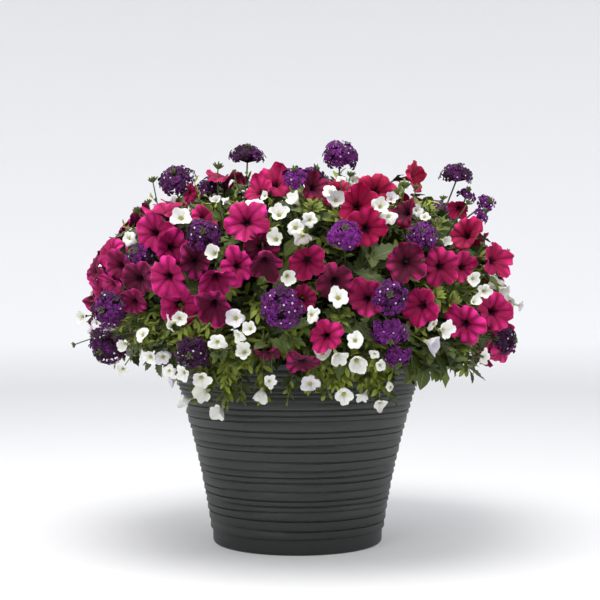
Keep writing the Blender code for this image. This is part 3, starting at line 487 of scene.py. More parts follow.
soil_rng = np.random.default_rng(5)
soil = Growth()
soil_angles = round_angles(SOIL_SIDES)
soil_rows = []
for share in np.linspace(0.02, 1.0, SOIL_RINGS):
    reach = share * (inner_radius(SOIL_EDGE_HEIGHT) - SOIL_GAP)
    rough = soil_rng.normal(0, SOIL_ROUGHNESS, SOIL_SIDES) * (share < 0.99)
    soil_rows.append(ring(reach, soil_angles, soil_height(reach) + rough))
for z in SOIL_DEPTHS:
    soil_rows.append(ring(inner_radius(z) - SOIL_GAP, soil_angles, z))
soil.add(np.concatenate(soil_rows), grid_faces(len(soil_rows), SOIL_SIDES)[:, ::-1], (0, 0, 0.5, 0))
soil.add_many(*crumbs(soil_rng, CRUMBS))
compost = Finish("peat_and_bark")
grain = compost.noise(240, 6, 0.7)
compost.paint(
    Base_Color=compost.mix(grain, seen(34, 24, 18), seen(88, 66, 48)),
    Roughness=0.96,
    Normal=compost.bump(grain, 0.6, 0.003),
)
soil_piece = soil.piece("potting_soil", compost)
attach(soil_piece, "root")
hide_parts("soil")

# The planting: shoots of three plants that grow from the soil into one mound. The flowers of the near side
# have their places in tables, as the camera sees them. Those of the other sides follow golden spirals over
# the mound.

MOUND_RADIUS = 0.300
MOUND_MIDDLE = 0.315
MOUND_RISE = 0.205
MOUND_DROP = 0.140
MOUND_POWER = 2.4
HANG_CLEARANCE = 0.017
DEPTH_GUESS = -0.2
DEPTH_ROUNDS = 30
EDGE_DEPTH = 0.015
GOLDEN_ANGLE = math.pi * (3 - math.sqrt(5))
ROLL_STEP = 2.4
FAR_SIDE_POINTS = 92
FAR_SIDE_LOWEST = -0.42
FAR_SIDE_TRAILING = 0.25
FAR_SIDE_PATTERN = ("petunia", "calibrachoa", "verbena", "petunia", "calibrachoa")
FAR_SIDE_WIDTHS = {"petunia": 50, "verbena": 52, "calibrachoa": 25}
FAR_SIDE_ROOM = (0.95, 0.004)
FAR_SIDE_LIFT = (0, 0, 0.15)
FAR_SIDE_TURN = 0.2
FILL_POINTS = 420
FILL_LOWEST = -0.45
FILL_START = 1.0
FILL_SIZES = (0.85, 1.1)
FILL_ROOM = (0.72, 0.002)
FILL_TURN = 0.25
FILL_PATTERN = ("petunia", "petunia", "calibrachoa", "petunia", "verbena", "calibrachoa")
FILL_FACING = -0.086
TUCK_FACING = -0.42
TUCK_DEPTH = 0.034
FAR_TOP = 0.492
FLANK_FACING = 0.30
FLANK_FROM = 0.17
FLANK_TOP = 0.415
FLANK_DEPTH = 0.028
LOW_SIDE = 0.13
LOW_SIDE_HEIGHT = 0.262
SHOOTS = {"petunia": 12, "verbena": 9, "calibrachoa": 13}
STEM_RADIUS = {"petunia": 0.0026, "verbena": 0.0021, "calibrachoa": 0.0019}
STALK_RADIUS = {"petunia": 0.0012, "verbena": 0.0012, "calibrachoa": 0.0008}
TUBE_END = {"petunia": 1.15, "verbena": 0.30, "calibrachoa": 1.20}
FULLNESS = {"petunia": 1.14, "verbena": 1.0, "calibrachoa": 1.10}
HUB_DEPTH = {"petunia": 0.045, "verbena": 0.045, "calibrachoa": 0.03}
HUB_BEHIND = 0.3
HUB_AIM = MOUND_MIDDLE + 0.02
HUB_LOWEST = POT_HEIGHT + 0.03
STALK_FROM = 0.97
STALK_SPREAD = 0.5
LATE_STALK = 0.75
STEM_STEPS = 12
STALK_STEPS = 6
ARCH_BELOW = POT_HEIGHT + 0.05
ARCH_OVER_RIM = 0.075
ARCH_BACK = 0.02
ARCH_RISE = (0, 0, 0.085)
ARCH_LEAN = 0.01
CLIMB_BACK = 0.05
CLIMB_DROP = (0, 0, 0.02)
CLIMB_SHARE = 0.35
CLIMB_LEAST = 0.02
STEM_FOOT = SOIL_EDGE_HEIGHT + SOIL_CROWN + 0.004
STALK_BACK = 0.35
STALK_OUT = 0.3
CALIBRACHOA_TURN = 0.26
CALIBRACHOA_FACING = (0.55, 0.45, 0.22)
CALIBRACHOA_OUT = 9
ROOT_RADIUS_LEAST = 0.03
ROOT_RADIUS_MOST = 0.140
ROOT_SPACING = 0.015
ROOT_ROUNDS = 200
HOLE_DEPTH = 0.035
# Rows in millimetres on the upright plane through the pot's axis, as the camera sees it: across, up, width,
# the way the flower faces in degrees, pan to the right and tilt upwards, how far in front of the mound it
# stands, and for some their brightness. A petunia's brightness is partly its own tone and partly painted
# shade, lower on flowers that sit in the mound's shadow. Calibrachoas have across, up and width, and for some
# how far in front they stand.
PETUNIAS = (
    (-200, 430, 50, -15, 5, 6), (-174, 412, 50, 25, -10, -8, 0.7), (-184, 464, 59, -40, 65, 0),
    (-128, 452, 42, 60, 20, -12), (-110, 506, 53, 0, 80, 10, 0.6), (-140, 488, 28, 60, 10, -6),
    (-266, 402, 45, -40, 20, 0), (-280, 376, 36, -60, 0, 4), (-280, 349, 37, -50, 0, -10),
    (-260, 360, 36, -50, -20, -6), (-180, 366, 52, -10, -5, 10), (-166, 330, 52, 5, -15, -6),
    (-112, 370, 48, 5, -30, 6), (-116, 328, 50, 0, -30, -4, 0.1), (-226, 366, 48, -25, -10, -8, 0.2),
    (-140, 394, 45, 10, -5, -10, 0.2), (-68, 442, 55, 0, 5, 10, 1.0), (-86, 382, 46, 20, 0, 0, 0.6),
    (-46, 390, 46, 10, -50, 0), (-32, 504, 53, 0, 45, 0, 0.8), (-50, 488, 42, -30, 40, -10),
    (22, 496, 34, 20, 20, -14), (84, 468, 50, 0, 10, -4, 0.8), (96, 438, 55, 5, -5, 8, 0.7),
    (106, 490, 50, 10, 5, -6), (128, 488, 36, 50, 10, -14), (166, 506, 45, 65, 5, 0, 0.7),
    (158, 454, 42, -40, 20, 0), (236, 428, 48, -20, 15, 0), (152, 390, 53, -5, 0, 6, 0.2),
    (200, 384, 48, 10, -10, 0, 0.5), (234, 382, 39, 20, 0, -8, 0.2), (276, 392, 46, 40, 10, 0, 0.6),
    (226, 464, 28, -10, -15, 0), (276, 320, 52, 15, 0, 6, 0.7), (234, 302, 50, -20, -10, 8, 0.9),
    (290, 264, 42, 50, -40, -6), (172, 328, 53, -40, -5, 0, 0.7), (102, 338, 50, -10, 0, -12),
    (14, 390, 48, -5, -15, -4, 0.1), (52, 362, 50, 5, -20, -10, 0.0), (40, 284, 45, -10, -5, 0),
    (14, 250, 46, 0, -55, -6, 0.0), (8, 338, 36, 10, 0, -24), (-50, 410, 48, 10, -20, -12, 0.1),
    (56, 494, 39, 0, 30, -16), (-234, 338, 36, -20, -20, -10, 0.0), (-250, 382, 42, -30, 0, -10),
    (-42, 260, 34, -10, -60, -16, 0.0),
)
VERBENAS = (
    (-166, 504, 55, -15, 45, 8, 0.3), (-70, 536, 53, 10, 80, 0, 0.0), (60, 536, 57, 5, 55, 0, 0.6),
    (-4, 504, 39, 0, 50, 12, 0.8), (24, 510, 34, 40, 60, 0, 0.3), (-132, 422, 53, 0, 15, 8, 0.3),
    (-224, 396, 42, -30, 20, 0, 0.3), (-252, 328, 55, -30, 0, 8, 0.4), (-261, 262, 55, -25, -20, 6, 0.1),
    (-148, 262, 50, -5, -10, 8, 0.0), (-20, 328, 62, 0, 0, 12, 0.6), (68, 426, 50, 0, 30, 8, 1.0),
    (126, 338, 52, 0, 10, 10, 0.6), (130, 292, 53, 0, -50, 4, 0.8), (140, 260, 39, 10, -60, 0, 0.7),
    (290, 280, 45, 60, 0, 10, 0.0), (222, 508, 48, 20, 75, 0, 0.2), (236, 482, 25, 30, 60, 0, 0.7),
    (260, 466, 25, 30, 20, 0, 0.9), (178, 428, 45, 0, 30, 4, 0.6), (252, 452, 25, 60, 40, 0, 0.8),
    (-120, 498, 36, 0, 60, -10, 0.2),
)
CALIBRACHOAS = (
    (-164, 448, 28), (-234, 416, 21), (-114, 402, 22), (-114, 476, 15), (-98, 474, 13), (-26, 456, 25),
    (-30, 422, 24), (0, 438, 24), (8, 420, 25), (18, 448, 21), (-2, 474, 21), (46, 488, 21),
    (58, 478, 24), (82, 500, 15), (-60, 472, 24), (-46, 482, 14), (62, 504, 15), (114, 466, 24, 18),
    (128, 456, 24), (132, 478, 17), (166, 462, 17), (178, 452, 14), (200, 420, 15), (246, 366, 21),
    (-180, 304, 25), (-164, 310, 20), (-218, 288, 22), (-206, 256, 21), (-188, 256, 22), (-160, 234, 22),
    (-180, 236, 18), (-134, 226, 24), (-130, 208, 27), (-154, 196, 20), (-112, 276, 24), (-282, 304, 18),
    (-302, 312, 18), (-242, 274, 18), (-250, 246, 18), (-174, 222, 15), (-108, 182, 25), (-88, 308, 27),
    (-82, 288, 25), (-68, 296, 20), (-74, 264, 22), (-14, 366, 22), (58, 340, 28), (22, 316, 22),
    (30, 256, 24, -8), (56, 260, 24), (84, 250, 28), (82, 280, 24), (18, 222, 25), (-50, 206, 24),
    (-38, 222, 18), (66, 202, 28), (94, 204, 17), (116, 190, 20), (130, 214, 13), (118, 246, 17),
    (108, 260, 14), (204, 292, 27), (188, 278, 27), (190, 304, 17), (262, 348, 21), (248, 334, 17),
    (286, 350, 20), (262, 256, 21), (316, 328, 15), (298, 334, 17),
)


def unit(v):
    v = np.array(v, float)
    return v / np.linalg.norm(v)


def units(rows):
    return rows / np.linalg.norm(rows, axis=1)[:, None]


class Flower:
    """One bloom: its kind, place, the way it faces, radius, number and brightness."""

    def __init__(self, kind, place, facing, radius, number, brightness=0.4):
        self.kind = kind
        self.brightness = brightness
        self.place = np.array(place, float)
        self.facing = unit(facing)
        self.radius = float(radius)
        self.number = number

    def axes(self):
        up = Vector(self.facing)
        roll = ROLL_STEP * self.number
        side = up.orthogonal().normalized()
        other = up.cross(side)
        first = math.cos(roll) * side + math.sin(roll) * other
        return np.array((first, up.cross(first), up))

    def behind(self, depth):
        return self.place - depth * self.radius * self.facing


def mound_radius(z):
    """How far the flowers stand from the pot's axis at a height, and never inside the pot's wall."""
    reach = MOUND_RISE if z > MOUND_MIDDLE else MOUND_DROP
    share = min(1.0, abs(z - MOUND_MIDDLE) / reach)
    radius = MOUND_RADIUS * (1 - share**MOUND_POWER) ** (1 / MOUND_POWER)
    return max(radius, wall_radius(z) + HANG_CLEARANCE) if z < POT_HEIGHT else radius


def mound_point(angle, cosine):
    """Where a line from the mound's middle leaves it: its angle round the axis, its cosine from the top."""
    sine = math.sqrt(1 - cosine**2)
    reach = MOUND_RISE if cosine > 0 else MOUND_DROP
    power = (sine / MOUND_RADIUS) ** MOUND_POWER + (abs(cosine) / reach) ** MOUND_POWER
    distance = power ** (-1 / MOUND_POWER)
    z = MOUND_MIDDLE + distance * cosine
    level = distance * sine
    if z < POT_HEIGHT:
        level = max(level, wall_radius(z) + HANG_CLEARANCE)
    return np.array((level * math.cos(angle), level * math.sin(angle), z))


def mound_normal(place):
    x, y, z = place
    reach = MOUND_RISE if z > MOUND_MIDDLE else MOUND_DROP
    level = math.hypot(x, y)
    outward = (min(1.0, level / MOUND_RADIUS) + 1e-6) ** (MOUND_POWER - 1) / MOUND_RADIUS
    rise = min(1.0, abs(z - MOUND_MIDDLE) / reach) ** (MOUND_POWER - 1) / reach
    rise = math.copysign(rise, z - MOUND_MIDDLE)
    return unit((outward * x / max(level, 1e-6), outward * y / max(level, 1e-6), rise))


def on_mound(across, up, out):
    """Where the eye's line through a place meets the near side of the mound, brought forward by out. The
    three are in millimetres, as in the tables."""
    across, up, out = across / 1000, up / 1000, out / 1000
    depth = DEPTH_GUESS
    for _ in range(DEPTH_ROUNDS):
        scale = (EYE_DISTANCE + depth) / EYE_DISTANCE
        x, z = across * scale, EYE_HEIGHT + (up - EYE_HEIGHT) * scale
        level = mound_radius(z) ** 2 - x * x
        depth = 0.5 * depth - 0.5 * (math.sqrt(level) if level > 0 else EDGE_DEPTH)
    depth -= out
    scale = (EYE_DISTANCE + depth) / EYE_DISTANCE
    return np.array((across * scale, depth, EYE_HEIGHT + (up - EYE_HEIGHT) * scale))


def turned_to(pan, tilt):
    pan, tilt = math.radians(pan), math.radians(tilt)
    return np.array((math.sin(pan) * math.cos(tilt), -math.cos(pan) * math.cos(tilt), math.sin(tilt)))


def placed(across, up, width, out):
    """The place and radius of a flower of the near side."""
    place = on_mound(across, up, out)
    return place, width / 2000 * (EYE_DISTANCE + place[1]) / EYE_DISTANCE


def near_side():
    rng = np.random.default_rng(7)
    made = []
    for kind, rows in (("petunia", PETUNIAS), ("verbena", VERBENAS)):
        for across, up, width, pan, tilt, out, *brightness in rows:
            place, radius = placed(across, up, width, out)
            made.append(Flower(kind, place, turned_to(pan, tilt), radius, len(made), *brightness))
    outward, forward, astray = CALIBRACHOA_FACING
    for across, up, width, *out in CALIBRACHOAS:
        place, radius = placed(across, up, width, out[0] if out else CALIBRACHOA_OUT)
        facing = outward * mound_normal(place) + forward * np.array((0, -1, 0.0)) + rng.normal(0, astray, 3)
        made.append(Flower("calibrachoa", place, facing, radius, len(made)))
    return made


def golden_spiral(count, lowest, start=0.0, further=0.0):
    """Places spread evenly over the mound, from its top down to the cosine lowest."""
    for k in range(count):
        yield mound_point(k * GOLDEN_ANGLE + start + further, 1 + (lowest - 1) * (k + 0.5) / count)


def crowded(place, radius, others, closeness, gap):
    """Whether a flower would press on another one."""
    return any(np.linalg.norm(place - f.place) < closeness * (radius + f.radius) + gap for f in others)


def facing_eye(place):
    """How squarely the mound faces the camera at a place: 1 towards it, 0 at the outline, negative behind."""
    return mound_normal(place) @ unit(np.array((0, -EYE_DISTANCE, EYE_HEIGHT)) - place)


def far_side(flowers):
    """Flowers where the eye can't see them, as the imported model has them."""
    rng = np.random.default_rng(11)
    added = 0
    for place in golden_spiral(FAR_SIDE_POINTS, FAR_SIDE_LOWEST):
        trails = place[2] <= FAR_SIDE_TRAILING
        kind = "calibrachoa" if trails else FAR_SIDE_PATTERN[added % len(FAR_SIDE_PATTERN)]
        radius = FAR_SIDE_WIDTHS[kind] / 2000
        if facing_eye(place) > 0.0 or crowded(place, radius, flowers, *FAR_SIDE_ROOM):
            continue
        added += 1
        facing = mound_normal(place) + FAR_SIDE_LIFT + rng.normal(0, FAR_SIDE_TURN, 3)
        flowers.append(Flower(kind, place, facing, radius, len(flowers)))


def on_flank(place):
    """Whether a place is on the mound's left or right side, which the camera sees edge on."""
    return abs(place[0]) > FLANK_FROM and LOW_SIDE_HEIGHT < place[2] < FLANK_TOP


def fill_far_side(flowers):
    """More flowers on the far side, the flanks and the back of the top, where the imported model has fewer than
    on the side in the picture."""
    rng = np.random.default_rng(13)
    added = []
    for place in golden_spiral(FILL_POINTS, FILL_LOWEST, FILL_START):
        kind = "calibrachoa" if place[2] < FAR_SIDE_TRAILING else FILL_PATTERN[len(added) % len(FILL_PATTERN)]
        radius = FAR_SIDE_WIDTHS[kind] / 2000 * rng.uniform(*FILL_SIZES)
        others = flowers + added
        low_side = abs(place[0]) > LOW_SIDE and place[2] < LOW_SIDE_HEIGHT
        shown = facing_eye(place) > (FLANK_FACING if on_flank(place) else FILL_FACING)
        if shown or low_side or crowded(place, radius, others, *FILL_ROOM):
            continue
        facing = mound_normal(place) + FAR_SIDE_LIFT + rng.normal(0, FILL_TURN, 3)
        added.append(Flower(kind, place, facing, radius, len(others)))
    return added


def tuck_behind(flower):
    """Draws a flower of the far side in, where the camera would see it past the near side."""
    place = flower.place
    depth = FLANK_DEPTH if on_flank(place) else TUCK_DEPTH
    place -= mound_normal(place) * depth * min(1.0, max(0.0, 1 - facing_eye(place) / TUCK_FACING))
    shown_height = EYE_HEIGHT + (place[2] - EYE_HEIGHT) * EYE_DISTANCE / (EYE_DISTANCE + place[1])
    place[2] -= max(0.0, shown_height - FAR_TOP)
    if abs(place[0]) > LOW_SIDE:
        place[2] = max(place[2], LOW_SIDE_HEIGHT)


# Rough sizes of each kind in radii: half thickness of the limb, length and radius of the tube behind it
ROUGH = {"petunia": (0.17, 1.25, 0.17), "verbena": (0.55, 0.9, 0.06), "calibrachoa": (0.24, 1.4, 0.16)}
LIMB_SPARE = 0.0016
TUBE_SPARE = 0.0018
NUDGE = 0.22
NUDGE_MOST = 0.003
PULL_BACK = 0.02
RIM_SPARE = 0.012
FIRST_ROUNDS = 60
LAST_ROUNDS = 40
RIM_CLEARANCE = HANG_CLEARANCE * 0.8
# The feelers on a limb, in rings: share of its radius, how many, and how far ahead of it in radii
FEELER_RINGS = ((1.0, 10, -0.03), (0.55, 5, -0.1))
# How far behind a flower the feelers on its tube are, in radii
FEELER_DEPTHS = (0.4, 0.7, 1.0, 1.3)
FEELER_ASKEW = (0.31, 0.17, 0.94)
HEAD_TOP = 0.6


def feelers(flower):
    """Points on a flower that must stay out of the others."""
    side = unit(np.cross(flower.facing, FEELER_ASKEW))
    other = np.cross(flower.facing, side)
    spots = [flower.place]
    for share, count, lift in FEELER_RINGS:
        for k in range(count):
            a = TAU * k / count
            level = share * flower.radius
            spot = flower.place + level * (math.cos(a) * side + math.sin(a) * other)
            spots.append(spot + lift * flower.radius * flower.facing)
    if flower.kind == "verbena":
        spots.append(flower.place + HEAD_TOP * flower.radius * flower.facing)
    for share in FEELER_DEPTHS:
        spots.append(flower.place - share * flower.radius * flower.facing)
    return np.array(spots)


def settle(flowers, rounds):
    """Nudges apart flowers whose limbs or tubes would cut into each other."""
    radius = np.array([f.radius for f in flowers])
    facing = np.array([f.facing for f in flowers])
    half, tube, pipe = np.array([ROUGH[f.kind] for f in flowers]).T * radius
    half, pipe = half + LIMB_SPARE, pipe + TUBE_SPARE
    start = np.array([f.place for f in flowers])
    offsets = [feelers(f) - f.place for f in flowers]
    owner = np.concatenate([[i] * len(o) for i, o in enumerate(offsets)])
    offsets = np.concatenate(offsets)
    place = start.copy()
    others = owner[:, None] != np.arange(len(flowers))
    for _ in range(rounds):
        apart = (place[owner] + offsets)[:, None, :] - place[None, :, :]
        lift = np.einsum("ijk,jk->ij", apart, facing)
        level_vector = apart - lift[:, :, None] * facing[None]
        level = np.linalg.norm(level_vector, axis=2)
        limb = (np.abs(lift) < half) & (level < radius + LIMB_SPARE) & others
        behind = (lift < -half) & (lift > -tube) & (level < pipe) & others
        along_depth = half - np.abs(lift)
        out_depth = radius + LIMB_SPARE - level
        flat = limb & (along_depth <= out_depth)
        away = level_vector / np.maximum(level, 1e-6)[:, :, None]
        push = np.where(flat, np.sign(lift) * along_depth, 0)[:, :, None] * facing[None]
        push += np.where(limb & ~flat, out_depth, 0)[:, :, None] * away
        push += np.where(behind, pipe - level, 0)[:, :, None] * away
        moves = np.zeros_like(place)
        for k in range(3):
            np.add.at(moves[:, k], owner, push[:, :, k].sum(axis=1) * NUDGE)
            moves[:, k] -= push[:, :, k].sum(axis=0) * NUDGE
        size = np.linalg.norm(moves, axis=1)
        moves *= (np.minimum(size, NUDGE_MOST) / np.maximum(size, 1e-9))[:, None]
        place += moves + (start - place) * PULL_BACK
        for p in place:
            level = math.hypot(p[0], p[1])
            if p[2] < POT_HEIGHT + RIM_SPARE:
                least = wall_radius(min(p[2], POT_HEIGHT)) + RIM_CLEARANCE
                if level < least:
                    p[:2] *= least / level
    for f, p in zip(flowers, place):
        f.place = p


def groups(flowers, count):
    """Shares flowers out among shoots evenly, by halving them across their longest stretch."""
    if count == 1:
        return [flowers]
    spots = np.array([f.place for f in flowers])
    axis = int(np.ptp(spots, axis=0).argmax())
    ordered = sorted(flowers, key=lambda f: f.place[axis])
    first = count // 2
    middle = round(len(ordered) * first / count)
    return groups(ordered[:middle], first) + groups(ordered[middle:], count - first)


def root_places(shoots):
    """Where each shoot stands in the soil: towards its flowers, and clear of the other roots."""
    places = []
    for group in shoots:
        middle = np.mean([f.place for f in group], axis=0)
        level = math.hypot(middle[0], middle[1])
        share = ROOT_RADIUS_LEAST + (ROOT_RADIUS_MOST - ROOT_RADIUS_LEAST) * min(1.0, level / MOUND_RADIUS)
        places.append(middle[:2] / max(level, 1e-6) * share)
    places = np.array(places)
    for _ in range(ROOT_ROUNDS):
        apart = places[:, None] - places[None]
        gap = np.linalg.norm(apart, axis=2) + np.eye(len(places))
        short = np.clip(ROOT_SPACING - gap, 0, None) * (1 - np.eye(len(places)))
        places += (apart / gap[:, :, None] * short[:, :, None]).sum(axis=1) * 0.5
        level = np.linalg.norm(places, axis=1)
        places *= (np.minimum(level, ROOT_RADIUS_MOST) / level)[:, None]
    return places


def curve(a, b, c, d, steps):
    """Points along a cubic curve, its start included."""
    t = np.linspace(0, 1, steps + 1)[:, None]
    s = 1 - t
    return a * s**3 + b * (3 * s * s * t) + c * (3 * s * t * t) + d * t**3


def stem_path(root, hub):
    """From the hole in the soil straight up, then in one curve to the middle of the shoot's flowers."""
    low = np.array((*root, SOIL_EDGE_HEIGHT - HOLE_DEPTH))
    start = np.array((*root, STEM_FOOT))
    level = np.array((hub[0], hub[1], 0))
    outward = unit(level)
    if hub[2] < ARCH_BELOW:
        over = level - outward * ARCH_BACK + np.array((0, 0, max(hub[2], POT_HEIGHT) + ARCH_OVER_RIM))
        rise = start + ARCH_RISE + outward * ARCH_LEAN
    else:
        over = hub - outward * CLIMB_BACK - CLIMB_DROP
        rise = start + (0, 0, CLIMB_SHARE * (hub[2] - start[2]) + CLIMB_LEAST)
    return np.vstack([low, curve(start, rise, over, hub, STEM_STEPS)])


def part_way(path, share):
    """The place, or places, at a share of a path's length."""
    steps = np.linalg.norm(np.diff(path, axis=0), axis=1)
    gone = np.concatenate([[0], np.cumsum(steps)])
    return np.stack([np.interp(share * gone[-1], gone, path[:, k]) for k in range(3)], axis=-1)


class Shoot:
    """One stem with its flowers, and the node of the model that it stands for."""

    def __init__(self, number, group, root):
        self.kind = group[0].kind
        self.node = f"{self.kind}_shoot_{number:02d}"
        self.flowers = group
        hub = np.mean([f.behind(TUBE_END[self.kind] + HUB_BEHIND) for f in group], axis=0)
        if hub[2] > HUB_LOWEST:
            hub = hub + unit(np.array((0, 0, HUB_AIM)) - hub) * HUB_DEPTH[self.kind]
        self.stem = stem_path(root, hub)
        self.in_order = sorted(group, key=lambda f: np.linalg.norm(f.place - hub))
        joins = [STALK_FROM - STALK_SPREAD * k / len(group) for k in range(len(group))]
        self.stalks = [self.stalk(f, join) for f, join in zip(self.in_order, joins)]

    def stalk(self, flower, share):
        """The way from the back of a flower to the stem."""
        end = flower.behind(TUBE_END[self.kind])
        join = self.at(share)
        reach = np.linalg.norm(join - end)
        back = end - flower.facing * STALK_BACK * reach
        return curve(end, back, join + (end - join) * STALK_OUT, join, STALK_STEPS)

    def take(self, flower):
        """Grows one more flower, which counts to the shoot but doesn't move it."""
        self.flowers.append(flower)
        self.in_order.append(flower)
        self.stalks.append(self.stalk(flower, LATE_STALK))

    def at(self, share):
        """The place at a share of the stem's length above the soil."""
        return part_way(self.stem[1:], share)

    def sector(self):
        """Which part of the planting it is in: near left, near right or far."""
        x, y, _ = self.stem[-1]
        if y > -0.02:
            return "far"
        return "near_left" if x < 0 else "near_right"


flowers = near_side()
near_count = len(flowers)
far_side(flowers)
settle(flowers, FIRST_ROUNDS)
shared = []
for kind, count in SHOOTS.items():
    shared += groups([f for f in flowers if f.kind == kind], count)
filling = fill_far_side(flowers)
flowers += filling
turn_rng = np.random.default_rng(17)
for flower in flowers:
    flower.radius *= FULLNESS[flower.kind]
    if flower.kind == "calibrachoa":
        flower.facing = unit(flower.facing + turn_rng.normal(0, CALIBRACHOA_TURN, 3))
settle(flowers, LAST_ROUNDS)
for flower in flowers[near_count:]:
    tuck_behind(flower)
shoots = [Shoot(k, group, root) for k, (group, root) in enumerate(zip(shared, root_places(shared)), start=1)]
for flower in filling:
    like = [s for s in shoots if s.kind == flower.kind]
    min(like, key=lambda s: np.linalg.norm(s.stem[-1] - flower.place)).take(flower)
SECTORS = ("near_left", "near_right", "far")


def kept_inside(points, room=0.0):
    """Moves a flower or stem that would stand out of the planting's box back into it, with room to spare."""
    low, high = np.array(cad_box[0]) + room, np.array(cad_box[1]) - room
    return points + np.maximum(low - points.min(axis=0), 0) - np.maximum(points.max(axis=0) - high, 0)


def dress(piece, kind, sector):
    """Rides a piece of the planting on the pot's body, for the shoots of its kind in its sector."""
    nodes = [s.node for s in shoots if s.kind == kind and s.sector() == sector]
    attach(piece, "root")
    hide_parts(*nodes)


def bloom_pieces(kind, name, finish, add_bloom):
    """The blooms of one kind, as one piece for each sector."""
    for sector in SECTORS:
        petals = Growth()
        for shoot in shoots:
            if shoot.kind == kind and shoot.sector() == sector:
                for flower in shoot.flowers:
                    add_bloom(petals, flower)
        dress(petals.piece(f"{name}_{sector}", finish), kind, sector)


# The petunias: one thin petal sheet each, a trumpet that flares into five broad velvety lobes with folded
# middles and ruffled rims, magenta to crimson, nearly black in the throat and along the veins that leave it.

PETUNIA_ROWS = (
    (0.065, -1.20), (0.080, -0.95), (0.100, -0.70), (0.130, -0.48), (0.175, -0.32), (0.245, -0.20),
    (0.340, -0.125), (0.450, -0.07), (0.570, -0.03), (0.690, -0.005), (0.800, 0.0), (0.890, -0.012),
    (0.955, -0.035), (1.0, -0.065),
)
PETUNIA_COLUMNS = 70
FAR_PETUNIA_COLUMNS = 45
PETUNIA_NOTCH = 0.15
PETUNIA_CUPS = (-0.10, -0.05, 0.0, 0.02, 0.06, 0.12, 0.30)
LOBES = 5
LOBE_CURLS = (0, 0, 0, 0.28, -0.30, 0.42)
NOTCH_WIDTH = 0.22
POINT_WIDTH = 0.16
CREASE_WIDTH = 0.20
RIDGE_WIDTH = 0.25
RUFFLE = 0.055
# Waves of the ruffled rim: height and how many go round it
RUFFLES = ((0.55, 10), (0.5, 7), (0.45, 17))
LOBE_ROUNDING = 0.06
LOBE_POINT = 0.045
LOBE_REACH = 0.07
RAGGEDNESS = 0.014
SCALLOP_DEPTH = 0.018
SCALLOPS = 13
CURL_SHORTENS = 0.35
OVAL = 0.06
CREASE = 0.06
RIDGE = 0.05
FOLD_FROM = 0.15
PLEAT_HEIGHT = 0.012
PLEATS = 25
SADDLE = 0.09
LEAN = 0.15
LEAN_LIMITS = (-0.22, 0.25)


def by_lobe(values, angle, middles):
    """One value for each of five lobes, full in its middle and none at its edges, or the other way round."""
    turn = angle * LOBES / TAU + (0.5 if middles else 0.0)
    edge = np.abs(turn % 1 - 0.5) * 2
    return np.asarray(values)[np.floor(turn).astype(int) % LOBES] * (1 - edge**2)


def hump(distance, width):
    """1 at no distance, and next to nothing past twice the width."""
    return np.exp(-((distance / width) ** 2))


def trumpet(flower, rows, columns, notch, cups, rng):
    """A flared five-lobed corolla, no two alike. Its marks: how far out, how far from the lobe's
    middle, a shade and a tone."""
    reach, lift = np.array(rows).T[:, :, None]
    angle = round_angles(columns)
    from_middle = np.abs((angle * LOBES / TAU + 0.5) % 1 - 0.5) * 2
    from_edge = 1 - from_middle
    # How far each ray of the corolla falls short of its full reach
    pinch = notch * hump(from_edge, NOTCH_WIDTH) * (1 + by_lobe(rng.uniform(-0.6, 0.7, LOBES), angle, False))
    pinch = pinch + LOBE_ROUNDING * from_middle**2 - LOBE_POINT * hump(from_middle, POINT_WIDTH)
    pinch = pinch + RAGGEDNESS * rng.normal(0, 1, columns)
    pinch = pinch - by_lobe(rng.normal(0, LOBE_REACH, LOBES), angle, True)
    pinch = pinch + SCALLOP_DEPTH * np.sin(SCALLOPS * angle + rng.uniform(0, TAU))
    curl = by_lobe(rng.choice(LOBE_CURLS, LOBES), angle, True)
    level = reach * (1 - pinch * reach**3 - CURL_SHORTENS * np.abs(curl) * reach**4)
    level = level * (1 + OVAL * np.sin(2 * angle + rng.uniform(0, TAU)))
    # How far it rises over a plain funnel: ruffled rim, folded lobes, ridges between them and fine pleats
    phases = rng.uniform(0, TAU, 3)
    ripple = sum(size * np.sin(waves * angle + phase) for (size, waves), phase in zip(RUFFLES, phases))
    crease = -CREASE * hump(from_middle, CREASE_WIDTH)
    crease = crease * np.sin(np.clip(reach * 1.05, FOLD_FROM, 1) * math.pi)
    ridge = RIDGE * hump(from_edge, RIDGE_WIDTH) * np.sin(np.clip(reach, FOLD_FROM, 1) * math.pi)
    pleats = PLEAT_HEIGHT * np.sin(PLEATS * angle + phases[0]) * reach**2
    saddle = rng.normal(0, SADDLE) * np.sin(2 * angle + phases[1])
    lean = by_lobe(np.clip(rng.normal(0, LEAN, LOBES), *LEAN_LIMITS), angle, True) + rng.choice(cups) + saddle
    height = lift + RUFFLE * ripple * reach**4 + lean * reach**2 + curl * reach**5 + crease + ridge + pleats
    points = flower.place + flower.radius * ring(level, angle, height).reshape(-1, 3) @ flower.axes()
    marks = np.zeros((len(rows), columns, 4))
    marks[:, :, 0] = np.array(rows)[:, :1]
    marks[:, :, 1] = from_middle
    marks[:, :, 2] = rng.random()
    return points, grid_faces(len(rows), columns), marks.reshape(-1, 4)


def petunia_tone(flower):
    """From 0, pink magenta, to 1, crimson: redder to the right of the middle and towards the top."""
    x, _, z = flower.place
    lean = 0.25 + 1.6 * x + 2.4 * (z - 0.40)
    return min(1.0, max(0.0, lean + 0.22 * math.sin(flower.number * 12.9)))


